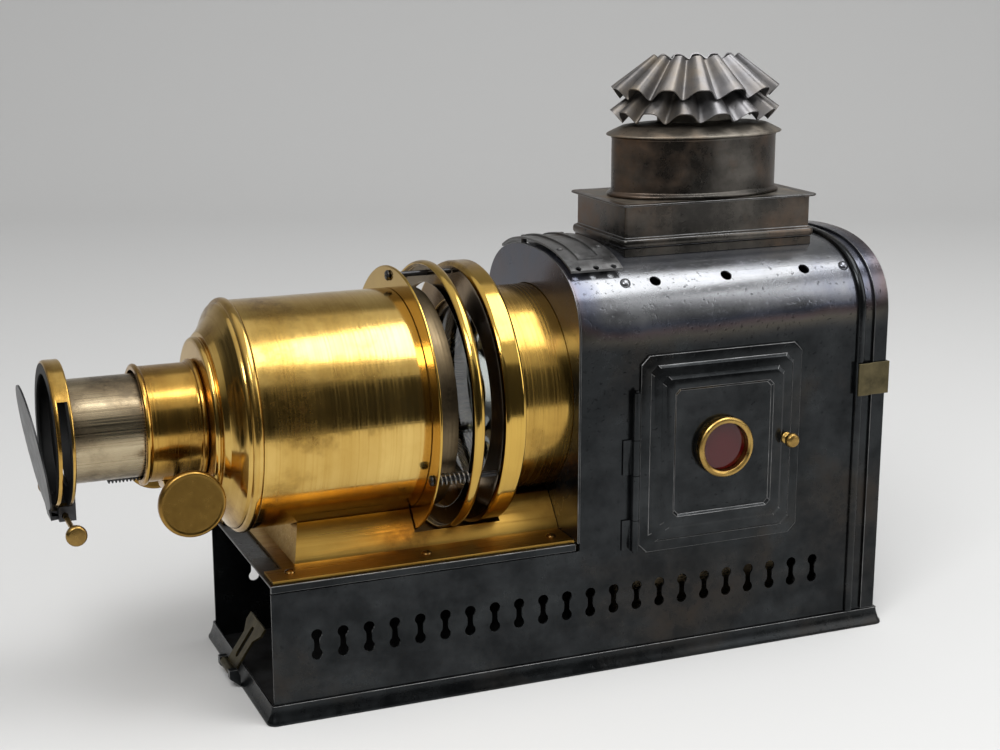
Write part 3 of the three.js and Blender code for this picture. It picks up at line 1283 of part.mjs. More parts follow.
function makeRear() {
  const foot = rimHeight + seatGap * 2;
  const bead = wallRing(rearBeadProud, seatGap, foot, rearBeadPlace, rearBeadPlace + rearBeadWidth);
  addNode('rear_bead', bead, gunIron);

  const inside = houseEnd + seatGap;
  const outside = inside + ironSheet;
  const rimStart = outside - rearRim;
  const clearance = seatGap * 1.6;
  const hollow = prism(outline(houseOutline(clearance, foot - overrun)), 'x', rimStart - overrun, inside);
  const pan = prism(outline(houseOutline(clearance + ironSheet, foot)), 'x', rimStart, outside).subtract(hollow);
  const raised = prism(outline(houseOutline(-rearDoorStepInset, foot + rearDoorStepInset)), 'x', inside + ironSheet / 2, outside + rearDoorStep);
  const pinX = rimStart - hingeKnuckleRadius - seatGap;
  const pinY = wallHalf + clearance + ironSheet + hingeKnuckleRadius / 2;
  const bore = hingePinRadius + seatGap;
  let door = pan.add(raised);
  const beadClear = wallRing(rearBeadProud + seatGap, 0, foot, rearBeadPlace - seatGap, rearBeadPlace + rearBeadWidth + seatGap);
  rearHingeHeights.forEach((height, i) => {
    const [low, high] = [height - rearKnuckleLength / 2, height + rearKnuckleLength / 2];
    const third = rearKnuckleLength / 3;
    const [eyeLow, eyeHigh] = [low + third + seatGap, high - third - seatGap];
    const eye = rod(hingeKnuckleRadius, eyeLow, eyeHigh, smallFacets, [pinX, pinY, 0], alongZ);
    const strapInner = wallHalf + clearance + ironSheet * 0.6;
    const strap = block(pinX, rimStart + rearRim / 2, strapInner, strapInner + ironSheet, eyeLow, eyeHigh);
    const pinClear = rod(bore, low, high, smallFacets, [pinX, pinY, 0], alongZ);
    door = door.add(strap.add(eye).subtract(pinClear));
    const fixed = [[low, low + third], [high - third, high]].map(([from, to]) => rod(
      hingeKnuckleRadius, from, to, smallFacets, [pinX, pinY, 0], alongZ,
    ).add(block(pinX - hingeLeafWidth, pinX, wallHalf + seatGap, pinY, from, to)));
    const pin = rod(hingePinRadius, low, high, smallFacets, [pinX, pinY, 0], alongZ);
    const leaf = joined([pin, ...fixed]);
    addNode(`rear_hinge_${rearHingeNames[i]}`, leaf.subtract(beadClear), gunIron);
  });
  addNode('rear_door', door, gunIron);

  const side = -(wallHalf + clearance + ironSheet);
  const hook = rearBeadProud + seatGap * 2;
  const beadEnd = rearBeadPlace + rearBeadWidth;
  const latch = outline([
    [outside + seatGap + latchSheet, side + latchReach / 2], [outside + seatGap + latchSheet, side - seatGap - latchSheet],
    [rimStart, side - seatGap - latchSheet], [beadEnd + latchSheet, -wallHalf - hook - latchSheet],
    [rearBeadPlace, -wallHalf - hook - latchSheet], [rearBeadPlace, -wallHalf - hook],
    [beadEnd + latchSheet, -wallHalf - hook], [rimStart, side - seatGap], [outside + seatGap, side - seatGap],
    [outside + seatGap, side + latchReach / 2],
  ]);
  addNode('rear_latch', prism(latch, 'z', latchCentre - latchHeight / 2, latchCentre + latchHeight / 2), dullBrass);
}

// Oil lamp

function roundedPlan(x0, x1, half, corner) {
  const shape = new THREE.Shape();
  shape.moveTo(x0 + corner, -half);
  shape.lineTo(x1 - corner, -half);
  shape.absarc(x1 - corner, -half + corner, corner, -Math.PI / 2, 0, false);
  shape.absarc(x1 - corner, half - corner, corner, 0, Math.PI / 2, false);
  shape.absarc(x0 + corner, half - corner, corner, Math.PI / 2, Math.PI, false);
  shape.absarc(x0 + corner, -half + corner, corner, Math.PI, 1.5 * Math.PI, false);
  return shape;
}

function makeLamp() {
  const trayFloor = ironSheet + seatGap;
  const tray = block(trayStart, trayEnd, -trayHalfWidth, trayHalfWidth, trayFloor, trayFloor + trayEdge);
  const hollow = block(
    trayStart + ironSheet, trayEnd - ironSheet, -trayHalfWidth + ironSheet, trayHalfWidth - ironSheet,
    trayFloor + ironSheet, trayFloor + trayEdge + overrun,
  );
  addNode('lamp_tray', tray.subtract(hollow), brownIron);
  const tankFloor = trayFloor + ironSheet + seatGap;
  const tank = prism(roundedPlan(tankStart, tankEnd, tankHalfWidth, tankCorner), 'z', tankFloor, tankTop);
  const deck = tankTop + seatGap;
  const tubes = [-1, 0, 1].map((row) => {
    const centre = row * wickTubePitch;
    const outer = block(
      wickTubeStart, wickTubeEnd, centre - wickTubeThickness / 2, centre + wickTubeThickness / 2, tankTop - overrun, wickTubeTop,
    );
    const wall = brassSheet / 2;
    return outer.subtract(block(
      wickTubeStart + wall, wickTubeEnd - wall, centre - wickTubeThickness / 2 + wall, centre + wickTubeThickness / 2 - wall,
      wickTubeTop - overrun * 2, wickTubeTop + overrun,
    ));
  });
  addNode('oil_tank', joined([tank, ...tubes]), dullBrass);

  const wall = ironSheet;
  const shell = block(chamberStart, chamberEnd, -chamberHalfWidth, chamberHalfWidth, deck, chamberTop);
  const flue = block(
    chamberStart + wall, chamberEnd - wall, -chamberHalfWidth + wall, chamberHalfWidth - wall, deck - overrun, chamberTop + overrun,
  );
  const window = block(
    chamberStart - overrun, chamberEnd + overrun, -chamberWindowHalf, chamberWindowHalf, chamberWindowBottom, chamberWindowTop,
  );
  const spindleHole = rod(
    spindleRadius + seatGap, chamberEnd - overrun * 2, chamberEnd + overrun, smallFacets, [0, 0, spindleHeight], alongX,
  );
  addNode('flame_chamber', cutBy(shell, [flue, window, spindleHole]), darkSteel);

  addNode('wick_spindle', turned([
    [0, spindleStart], [spindleRadius, spindleStart], [spindleRadius, spindleEnd - spindleKnobLength],
    [spindleKnobRadius, spindleEnd - spindleKnobLength], [spindleKnobRadius, spindleEnd], [0, spindleEnd],
  ], smallFacets, [0, 0, spindleHeight], alongX), dullBrass);
}

makeBase();
makeHasp();
makeHouse();
makeRoofPlate();
makeCollar();
makeChimneyBox();
makeChimneyTube();
addNode('crown_lower', crown(crownUpperBottom - crownDrop, 1), greySteel);
addNode('crown_upper', crown(crownUpperBottom, 0), greySteel);
makeCondenser();
makeStage();
makeBarrel();
makeJacket();
makeDrawTube();
makePinion();
makeFlap();
makeSaddle();
makeSideDoor();
makeRear();
makeLamp();

export default lantern;
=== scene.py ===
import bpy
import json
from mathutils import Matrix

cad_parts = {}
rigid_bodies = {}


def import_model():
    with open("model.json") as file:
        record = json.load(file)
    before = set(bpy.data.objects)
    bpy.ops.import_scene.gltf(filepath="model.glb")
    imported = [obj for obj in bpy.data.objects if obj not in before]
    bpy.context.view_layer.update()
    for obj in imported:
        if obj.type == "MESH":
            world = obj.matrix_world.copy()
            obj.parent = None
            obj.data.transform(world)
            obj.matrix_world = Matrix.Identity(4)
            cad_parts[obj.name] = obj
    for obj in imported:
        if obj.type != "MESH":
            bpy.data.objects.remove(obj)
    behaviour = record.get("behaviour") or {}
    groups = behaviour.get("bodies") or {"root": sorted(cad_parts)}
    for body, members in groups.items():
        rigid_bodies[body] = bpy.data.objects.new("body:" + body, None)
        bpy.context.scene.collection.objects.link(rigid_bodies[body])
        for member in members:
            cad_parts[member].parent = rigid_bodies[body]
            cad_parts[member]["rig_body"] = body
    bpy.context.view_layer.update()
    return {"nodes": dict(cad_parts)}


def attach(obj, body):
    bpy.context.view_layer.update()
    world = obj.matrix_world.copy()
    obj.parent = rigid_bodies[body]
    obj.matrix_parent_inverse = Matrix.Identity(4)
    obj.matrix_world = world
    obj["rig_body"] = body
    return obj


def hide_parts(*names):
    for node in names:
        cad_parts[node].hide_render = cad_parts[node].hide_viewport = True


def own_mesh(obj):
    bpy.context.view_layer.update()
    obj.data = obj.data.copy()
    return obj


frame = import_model()

import json
import math
import random

import bmesh
import bpy
from mathutils import Matrix, Vector

# A magic lantern. Sizes are millimetres with x from the front edge of the base, as in the part's source;
# spot() brings them into the row frame in metres. A turned profile is (radius, distance) pairs.
MM = 0.001
SIDES = ((-1, "left"), (1, "right"))
BASE_LENGTH = 369.0
AXIS = 151.0  # height of the optical axis
WALL_HALF = 64.0
WALL_TOP = 186.9
ARCH_RISE = 42.9
SQUARENESS = 2.44  # of the roof's curve, where 2 is an ellipse
SHOULDER = 52  # how far across the roof its rivets and round holes lie
HOUSE_START = 172.7
HOUSE_END = 366.0
SHEET = 1.2
SHELF_TOP = 75.4
SHELF_END = 172.4
CHIMNEY_X = 274.5
CONDENSER_BORE = 58.1
FLANGE_FACE = 89.9
SHAFT_Z = 118.78
PINION_X = -34.3
HOOD_FACE = -98.5
FLAP_X = -93.0
FLAP_Z = 109.8
TURN = 0.395  # of the camera, the floor and the card, in radians

random.seed(7)


def spot(x, y, z):
    return Vector(((x - BASE_LENGTH / 2) * MM, y * MM, z * MM))


def new_object(name, data):
    made = bpy.data.objects.new(name, data)
    bpy.context.scene.collection.objects.link(made)
    return made


# Camera, as the photograph was taken

camera_data = bpy.data.cameras.new("Camera")
camera_data.lens = 63.6
camera_data.sensor_width = 36
camera_data.clip_end = 50
camera = new_object("Camera", camera_data)
camera.location = spot(-219.2, -894.5, 397.4)
camera.rotation_euler = (math.pi / 2 - 0.242, 0, -TURN)
bpy.context.scene.camera = camera


# Shapes: each is (points, faces) in millimetres

def join_shapes(*shapes):
    points, faces = [], []
    for more, sides in shapes:
        start = len(points)
        points += more
        faces += [[start + i for i in side] for side in sides]
    return points, faces


def eased(profile, radius, closed=True, steps=3):
    """The profile with its corners rounded."""
    out = []
    count = len(profile)
    for i, point in enumerate(profile):
        here = Vector(point)
        if not closed and i in (0, count - 1):
            out.append(tuple(here))
            continue
        back = Vector(profile[i - 1]) - here
        ahead = Vector(profile[(i + 1) % count]) - here
        reach = min(radius, back.length * 0.45, ahead.length * 0.45)
        if reach < 1e-4 or back.angle(ahead) > math.radians(172):
            out.append(tuple(here))
            continue
        first = here + back.normalized() * reach
        last = here + ahead.normalized() * reach
        for k in range(steps + 1):
            t = k / steps
            out.append(tuple(first * (1 - t) ** 2 + here * 2 * t * (1 - t) + last * t * t))
    return out


def square_to(along):
    return along.cross(Vector((0, 0, 1)) if abs(along.z) < 0.9 else Vector((1, 0, 0))).normalized()


def circle(middle, side, up, radius, count):
    turns = [2 * math.pi * j / count for j in range(count)]
    return [middle + side * radius * math.cos(turn) + up * radius * math.sin(turn) for turn in turns]


def lathe(profile, segments=128, centre=(0, 0, AXIS), direction=(1, 0, 0), closed=True):
    """A turned shape; closed joins the last pair to the first."""
    along = Vector(direction).normalized()
    side = square_to(along)
    up = side.cross(along).normalized()
    points, rings, faces = [], [], []
    for radius, distance in profile:
        middle = Vector(centre) + along * distance
        more = [middle] if radius < 1e-6 else circle(middle, side, up, radius, segments)
        rings.append(list(range(len(points), len(points) + len(more))))
        points += more
    pairs = list(zip(rings, rings[1:]))
    if closed:
        pairs.append((rings[-1], rings[0]))
    for low, high in pairs:
        if len(low) == 1 and len(high) == 1:
            continue
        for j in range(segments):
            k = (j + 1) % segments
            if len(low) == 1:
                faces.append([low[0], high[j], high[k]])
            elif len(high) == 1:
                faces.append([low[j], high[0], low[k]])
            else:
                faces.append([low[j], high[j], high[k], low[k]])
    return points, faces


def rod(radius, start, end, segments, centre=(0, 0, AXIS), direction=(1, 0, 0)):
    profile = [(0, start), (radius, start), (radius, end), (0, end)]
    return lathe(profile, segments, centre, direction, closed=False)


def slab(outline, axis, start, end):
    """A prism whose outline lies across an axis: (y, z) along x, (x, z) along y, (x, y) along z."""
    def at(a, b, c):
        return Vector({"x": (c, a, b), "y": (a, c, b), "z": (a, b, c)}[axis])
    count = len(outline)
    points = [at(a, b, start) for a, b in outline] + [at(a, b, end) for a, b in outline]
    faces = [list(range(count)), list(range(2 * count - 1, count - 1, -1))]
    for i in range(count):
        k = (i + 1) % count
        faces.append([i, k, count + k, count + i])
    return points, faces


def block(x0, x1, y0, y1, z0, z1):
    return slab([(x0, y0), (x1, y0), (x1, y1), (x0, y1)], "z", z0, z1)


def loft(rings, closed=False, caps=False, open_rings=False):
    """A skin through rings of equal count; open rings get a face at each of their two ends."""
    count = len(rings[0])
    points = [Vector(p) for ring in rings for p in ring]
    faces = []
    for i in range(len(rings) if closed else len(rings) - 1):
        n = (i + 1) % len(rings)
        for j in range(count - 1 if open_rings else count):
            k = (j + 1) % count
            faces.append([i * count + j, i * count + k, n * count + k, n * count + j])
    if open_rings:
        faces += [[i * count + end for i in range(len(rings))] for end in (0, count - 1)]
    if caps:
        faces.append(list(range(count - 1, -1, -1)))
        faces.append([(len(rings) - 1) * count + j for j in range(count)])
    return points, faces


def wire(path, radius, sides=10):
    """A round wire along a chain of points."""
    chain = [Vector(p) for p in path]
    rings = []
    normal = None
    for i, point in enumerate(chain):
        along = (chain[min(i + 1, len(chain) - 1)] - chain[max(i - 1, 0)]).normalized()
        if normal is None:
            normal = square_to(along)
        normal = (normal - along * normal.dot(along)).normalized()
        rings.append(circle(point, normal, along.cross(normal), radius, sides))
    return loft(rings, caps=True)


def arch(offset, half=None, steps=64):
    """The roof's curve grown by an offset, from -Y over the top to +Y."""
    radius = WALL_HALF + offset
    rise = ARCH_RISE + offset
    limit = math.acos(min(1, (half / radius) ** (SQUARENESS / 2))) if half else 0
    out = []
    for i in range(steps + 1):
        angle = math.pi - limit - (math.pi - 2 * limit) * i / steps
        cos, sin = math.cos(angle), math.sin(angle)
        across = math.copysign(abs(cos) ** (2 / SQUARENESS), cos)
        out.append((radius * across, WALL_TOP + rise * abs(sin) ** (2 / SQUARENESS)))
    return out


def house_outline(offset, foot):
    side = WALL_HALF + offset
    return [(-side, foot), *arch(offset), (side, foot)]


def on_roof(x, y):
    """A point on the roof and the direction out of it."""
    across = abs(y) / WALL_HALF
    up = (1 - across ** SQUARENESS) ** (1 / SQUARENESS)
    slope = math.copysign(across ** (SQUARENESS - 1) / WALL_HALF, y)
    out = Vector((0, slope, up ** (SQUARENESS - 1) / ARCH_RISE))
    return Vector((x, y, WALL_TOP + ARCH_RISE * up)), out.normalized()


def oval(half_length, half_width, z, count=128):
    turns = [2 * math.pi * i / count for i in range(count)]
    return [Vector((CHIMNEY_X + half_length * math.cos(turn), half_width * math.sin(turn), z))
            for turn in turns]


def rounded_rectangle(x0, x1, half, z, corner, steps=5):
    ring = []
    corners = [(x1 - corner, half - corner, 0), (x0 + corner, half - corner, 1),
               (x0 + corner, -half + corner, 2), (x1 - corner, -half + corner, 3)]
    for cx, cy, quarter in corners:
        for i in range(steps + 1):
            angle = math.pi / 2 * (quarter + i / steps)
            ring.append(Vector((cx + corner * math.cos(angle), cy + corner * math.sin(angle), z)))
    return ring


# Pieces

def weld(mesh, distance, flatten=False):
    work = bmesh.new()
    work.from_mesh(mesh)
    bmesh.ops.remove_doubles(work, verts=work.verts, dist=distance)
    if flatten:
        bmesh.ops.dissolve_limit(work, angle_limit=math.radians(1), verts=work.verts, edges=work.edges,
                                 delimit={"SHARP"})
    bmesh.ops.recalc_face_normals(work, faces=work.faces)
    work.to_mesh(mesh)
    work.free()


def raw_object(name, shape):
    points, faces = shape
    mesh = bpy.data.meshes.new(name)
    mesh.from_pydata([spot(*p) for p in points], [], faces)
    weld(mesh, 1e-7)
    return new_object(name, mesh)


def fine(node, shape):
    return raw_object(node + "_fine", shape)


def combine(target, tool, operation):
    change = target.modifiers.new("Shape", "BOOLEAN")
    change.operation = operation
    change.object = tool
    change.solver = "EXACT"
    bpy.context.view_layer.update()
    graph = bpy.context.evaluated_depsgraph_get()
    mesh = bpy.data.meshes.new_from_object(target.evaluated_get(graph))
    target.modifiers.clear()
    target.data = mesh
    bpy.data.objects.remove(tool)


def carve(target, *shapes):
    """Cuts shapes away; those of one call don't overlap."""
    combine(target, raw_object("cutter", join_shapes(*shapes)), "DIFFERENCE")


def unite(target, *shapes):
    for shape in shapes:
        combine(target, raw_object("addition", shape), "UNION")


def dress(made, finish, body, replaced=(), slot=None, ease=0.0, worn=None, sharp=32, bore=None):
    """Shading, small rounded edges, finish and place in the frame. The second finish goes on the rounded
    edges, where it paints wear and a highlight, and on what lies within the bore, a radius from the optical
    axis."""
    mesh = made.data
    mesh.materials.clear()
    mesh.materials.append(finish)
    if worn:
        mesh.materials.append(worn)
    for face in mesh.polygons:
        face.use_smooth = True
        face.material_index = 0
        if bore and math.hypot(face.center.y, face.center.z - AXIS * MM) < bore * MM:
            face.material_index = 1
    mesh.set_sharp_from_angle(angle=math.radians(sharp))
    if ease:
        edge = made.modifiers.new("Rounded edges", "BEVEL")
        edge.width = ease * MM
        edge.segments = 2
        edge.limit_method = "ANGLE"
        edge.angle_limit = math.radians(sharp)
        edge.use_clamp_overlap = True
        edge.harden_normals = True
        # The rounded edges take the second finish: wear and a painted highlight.
        if worn:
            edge.material = 1
    else:
        even = made.modifiers.new("Even normals", "WEIGHTED_NORMAL")
        even.keep_sharp = True
    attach(made, body)
    if replaced:
        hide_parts(*replaced)
    return made


def stand_in(node, made, finish, slot, **look):
    """Puts an object in place of a CAD node, on the same body."""
    return dress(made, finish, frame["nodes"][node]["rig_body"], (node,), slot, **look)


def piece(node, shape, finish, slot, **look):
    return stand_in(node, fine(node, shape), finish, slot, **look)


def extra(name, shape, finish, body, slot, **look):
    """A piece that takes no CAD node's place."""
    return dress(raw_object(name, shape), finish, body, (), slot, **look)


def refined(node, finish, slot, ease=0.25, **look):
    """A CAD node's own shape, welded and with soft edges, in place of the faceted one."""
    mesh = frame["nodes"][node].data.copy()
    weld(mesh, 2e-6, flatten=True)
    return stand_in(node, new_object(node + "_fine", mesh), finish, slot, ease=ease, **look)


# Nodes for the materials

def new_material(name):
    made = bpy.data.materials.new(name)
    made.use_nodes = True
    tree = made.node_tree
    return made, tree, tree.nodes["Principled BSDF"]


def plug(tree, socket, value):
    if isinstance(value, bpy.types.NodeSocket):
        tree.links.new(value, socket)
    else:
        socket.default_value = value


def add_node(tree, kind, **values):
    """A node whose inputs take these values; _ stands for a space in their names."""
    made = tree.nodes.new("ShaderNode" + kind)
    for name, value in values.items():
        plug(tree, made.inputs[name.replace("_", " ")], value)
    return made


def surface(tree, shader, colour, metallic, gloss):
    plug(tree, shader.inputs["Base Color"], colour)
    plug(tree, shader.inputs["Metallic"], metallic)
    plug(tree, shader.inputs["Roughness"], gloss)


def grey(value):
    return (value, value, value)


def scaled(values, share):
    return tuple(value * share for value in values)


def noise(tree, scale, detail=4, roughness=0.55, stretch=(1, 1, 1), offset=(0, 0, 0), distortion=0.0):
    place = add_node(tree, "TexCoord").outputs["Object"]
    mapped = add_node(tree, "Mapping", Vector=place, Scale=stretch, Location=offset).outputs["Vector"]
    made = add_node(tree, "TexNoise", Vector=mapped, Scale=scale, Detail=detail, Roughness=roughness,
                    Distortion=distortion)
    return made.outputs["Fac"]


def ramp(tree, fac, *stops):
    """Stops are (place, colour or grey)."""
    made = add_node(tree, "ValToRGB", Fac=fac)
    elements = made.color_ramp.elements
    while len(elements) < len(stops):
        elements.new(0.5)
    for element, (place, colour) in zip(elements, stops):
        element.position = place
        element.color = (*(grey(colour) if isinstance(colour, (int, float)) else colour), 1)
    return made.outputs["Color"]


def mix(tree, fac, first, second):
    made = tree.nodes.new("ShaderNodeMix")
    made.data_type = "RGBA"
    plug(tree, made.inputs["Factor"], fac)
    for socket, value in ((made.inputs["A"], first), (made.inputs["B"], second)):
        if isinstance(value, tuple) and len(value) == 3:
            value = (*value, 1)
        plug(tree, socket, value)
    return made.outputs["Result"]


def maths(tree, operation, first, second=0.0):
    made = tree.nodes.new("ShaderNodeMath")
    made.operation = operation
    plug(tree, made.inputs[0], first)
    plug(tree, made.inputs[1], second)
    return made.outputs[0]


def bump(tree, shader, height, distance):
    made = add_node(tree, "Bump", Height=height, Distance=distance, Strength=1.0)
    tree.links.new(made.outputs["Normal"], shader.inputs["Normal"])


def coordinate(tree, letter, kind="Object"):
    place = add_node(tree, "TexCoord").outputs[kind]
    return add_node(tree, "SeparateXYZ", Vector=place).outputs[letter]


def axis_radius(tree, centre, across):
    """The distance in metres from an axis through centre; across gives the two directions across it."""
    squares = []
    for letter in across:
        away = maths(tree, "SUBTRACT", coordinate(tree, letter), centre["XYZ".index(letter)])
        squares.append(maths(tree, "MULTIPLY", away, away))
    return maths(tree, "SQRT", maths(tree, "ADD", *squares))


def band(tree, value, low, high, soft):
    """One between low and high, falling off over soft."""
    edges = [add_node(tree, "MapRange", Value=value, From_Min=start, From_Max=end).outputs[0]
             for start, end in ((low - soft, low), (high + soft, high))]
    return maths(tree, "MULTIPLY", *edges)


# Brass

def brass(name, bright, deep, tarnish, lines=(900, 6, 6), rough=(0.1, 0.22), line_depth=0.00002,
          tarnish_at=0.62, face=None, scratches=0.25, rubbed=(70, 700, 240)):
    """Turned and lacquered brass: fine lathe lines, soft tarnish, a few rubs."""
    made, tree, shader = new_material(name)
    cloud = noise(tree, 18, 6, 0.6, offset=(0.3, 0.1, 0.7))
    turned = noise(tree, 1, 2, 0.5, stretch=lines)
    broad = noise(tree, 1, 3, 0.5, stretch=scaled(lines, 0.12), offset=(0.2, 0.5, 0.1))
    spots = noise(tree, 160, 5, 0.7)
    colour = mix(tree, ramp(tree, cloud, (0.35, 0.0), (0.7, 1.0)), bright, deep)
    colour = mix(tree, ramp(tree, broad, (0.42, 0.0), (0.72, 0.55)), colour, deep)
    colour = mix(tree, ramp(tree, turned, (0.5, 0.0), (0.75, 0.4)), colour, deep)
    stain = maths(tree, "MULTIPLY", ramp(tree, cloud, (tarnish_at - 0.12, 0.0), (tarnish_at + 0.12, 1.0)),
                  ramp(tree, spots, (0.35, 0.15), (0.6, 1.0)))
    colour = mix(tree, stain, colour, tarnish)
    # Over the face mask the tarnish colour is painted: on the stage rings it is a painted dark reflection,
    # on the focus wheels it darkens the face inside the rim.
    if face:
        colour = mix(tree, face(tree), colour, tarnish)
    gloss = mix(tree, ramp(tree, turned, (0.3, 0.0), (0.75, 1.0)), grey(rough[0]), grey(rough[1]))
    gloss = mix(tree, maths(tree, "MULTIPLY", stain, 0.7), gloss, grey(0.48))
    surface(tree, shader, colour, 1.0, gloss)
    rubs = noise(tree, 1, 3, 0.6, stretch=rubbed, offset=(0.9, 0.2, 0.4), distortion=0.6)
    bump(tree, shader, mix(tree, scratches, turned, rubs), line_depth)
    return made


def stage_face_reflection(low, high):
    """A painted dark reflection, brown in the tarnish colour, on the face of a ring on the optical axis
    between two radii, in metres.
    """
    def face(tree):
        radius = axis_radius(tree, (0, 0, AXIS * MM), "YZ")
        return maths(tree, "MULTIPLY", band(tree, radius, low, high, 0.0012), 0.85)
    return face


def wheel_face(tree):
    radius = axis_radius(tree, (spot(PINION_X, 0, 0).x, 0, SHAFT_Z * MM), "XZ")
    return maths(tree, "MULTIPLY", band(tree, radius, -0.01, 0.0155, 0.0008), 0.8)


GOLD = (0.74, 0.51, 0.16)
AMBER = (0.5, 0.3, 0.065)
UMBER = (0.11, 0.055, 0.018)
brass_barrel = brass("Barrel brass", GOLD, AMBER, UMBER, line_depth=0.00003, scratches=0.6,
                     rubbed=(9, 420, 420))
brass_nose = brass("Nose brass", GOLD, (0.44, 0.24, 0.04), UMBER, rough=(0.1, 0.24))
brass_stage = brass("Stage brass", (0.62, 0.4, 0.09), AMBER, UMBER)
# The back ring and the sprung plate carry a painted dark reflection on their front faces.
brass_ring = brass("Back ring brass", (0.68, 0.44, 0.1), AMBER, (0.13, 0.075, 0.03), rough=(0.08, 0.2),
                   face=stage_face_reflection(0.053, 0.0705))
brass_plate = brass("Sprung plate brass", (0.62, 0.41, 0.1), AMBER, (0.06, 0.04, 0.02),
                    face=stage_face_reflection(0.06, 0.0722))
brass_dull_ring = brass("Dull ring brass", (0.2, 0.15, 0.085), (0.1, 0.075, 0.045), (0.04, 0.032, 0.022),
                        rough=(0.3, 0.5), tarnish_at=0.5)
brass_jacket = brass("Jacket brass", (0.62, 0.38, 0.09), (0.36, 0.18, 0.03), (0.07, 0.04, 0.015),
                     rough=(0.12, 0.28), tarnish_at=0.58)
brass_tube = brass("Draw tube brass", (0.56, 0.47, 0.31), (0.26, 0.19, 0.11), (0.05, 0.04, 0.03),
                   lines=(14, 1300, 1300), rough=(0.16, 0.36), line_depth=0.00004, tarnish_at=0.56,
                   rubbed=(2600, 6, 6))
brass_condenser = brass("Condenser brass", (0.6, 0.38, 0.09), (0.34, 0.19, 0.04), (0.08, 0.05, 0.02),
                        rough=(0.14, 0.32), tarnish_at=0.6)
brass_saddle = brass("Saddle brass", (0.5, 0.31, 0.07), (0.33, 0.17, 0.03), (0.09, 0.045, 0.015),
                     lines=(10, 700, 700), rough=(0.26, 0.44), line_depth=0.00003, tarnish_at=0.64)
brass_screw = brass("Screw brass", (0.26, 0.15, 0.045), (0.15, 0.08, 0.022), (0.06, 0.03, 0.012),
                    lines=(300, 300, 60), rough=(0.2, 0.36))
brass_wheel = brass("Wheel brass", (0.42, 0.25, 0.06), (0.22, 0.12, 0.03), (0.12, 0.07, 0.016),
                    lines=(300, 60, 300), rough=(0.26, 0.42), tarnish_at=0.7, face=wheel_face)
brass_small = brass("Fitting brass", (0.5, 0.33, 0.1), (0.3, 0.18, 0.05), (0.09, 0.055, 0.025),
                    lines=(200, 200, 200), rough=(0.22, 0.4))
brass_hasp = brass("Hasp brass", (0.17, 0.14, 0.075), (0.09, 0.075, 0.04), (0.035, 0.03, 0.018),
                   lines=(150, 900, 150), rough=(0.34, 0.52), tarnish_at=0.55)
# Bright brass for rounded edges: wear and a painted highlight.
brass_worn = brass("Rubbed brass edge with painted highlight", (0.8, 0.6, 0.26), (0.6, 0.42, 0.14), (0.3, 0.2, 0.08),
                   rough=(0.14, 0.26))


# Iron

def iron(name, dark, light, rust, rough=(0.26, 0.46), rust_at=0.66, grain=42, tint=None, specks=0.66):
    """Planished sheet iron: a mottled dark skin, small pits and warmer stains."""
    made, tree, shader = new_material(name)
    cloud = noise(tree, 11, 7, 0.62, offset=(0.4, 0.2, 0.9), distortion=0.4)
    mottle = noise(tree, grain, 6, 0.66, offset=(0.1, 0.7, 0.3))
    speck = noise(tree, 420, 3, 0.5)
    sweep = noise(tree, 1, 4, 0.6, stretch=(22, 22, 110), offset=(0.5, 0.5, 0.2))
    colour = mix(tree, ramp(tree, mottle, (0.36, 0.0), (0.66, 1.0)), dark, light)
    colour = mix(tree, ramp(tree, sweep, (0.45, 0.0), (0.8, 0.5)), colour, dark)
    stain = maths(tree, "MULTIPLY", ramp(tree, cloud, (rust_at - 0.14, 0.0), (rust_at + 0.1, 1.0)),
                  ramp(tree, mottle, (0.4, 0.2), (0.62, 1.0)))
    colour = mix(tree, stain, colour, rust)
    if tint:
        colour = tint(tree, colour, cloud)
    pitted = ramp(tree, speck, (specks, 0.0), (specks + 0.08, 0.5))
    gloss = mix(tree, ramp(tree, mottle, (0.3, 0.0), (0.7, 1.0)), grey(rough[0]), grey(rough[1]))
    gloss = mix(tree, maths(tree, "MULTIPLY", stain, 0.6), gloss, grey(0.62))
    surface(tree, shader, mix(tree, pitted, colour, scaled(dark, 0.4)), 0.85, gloss)
    pits = ramp(tree, speck, (specks - 0.04, 1.0), (specks + 0.06, 0.0))
    bump(tree, shader, mix(tree, 0.35, mix(tree, 0.5, mottle, cloud), pits), 0.00012)
    return made


def temper_colours_and_sheen(tree, colour, cloud):
    """Straw, purple and blue temper colours that spread over the roof round the chimney, on greys far
    lighter than the iron that are a painted sheen.
    """
    x = coordinate(tree, "X")
    z = coordinate(tree, "Z")
    temper_and_sheen = maths(tree, "MULTIPLY", band(tree, x, 0.005, 0.155, 0.06), band(tree, z, 0.199, 0.24, 0.02))
    shift = maths(tree, "ADD", maths(tree, "MULTIPLY", temper_and_sheen, 0.62), maths(tree, "MULTIPLY", cloud, 0.5))
    straw, purple, blue = (0.17, 0.15, 0.12), (0.18, 0.135, 0.14), (0.13, 0.14, 0.185)
    # The hues are temper colours; the greys, far lighter than the iron, are painted sheen.
    temper_and_sheen_hues = ramp(tree, shift, (0.3, (0.06, 0.062, 0.065)), (0.5, straw), (0.62, purple), (0.72, blue),
                (0.86, (0.22, 0.225, 0.235)))
    return mix(tree, maths(tree, "MULTIPLY", temper_and_sheen, 0.85), colour, temper_and_sheen_hues)


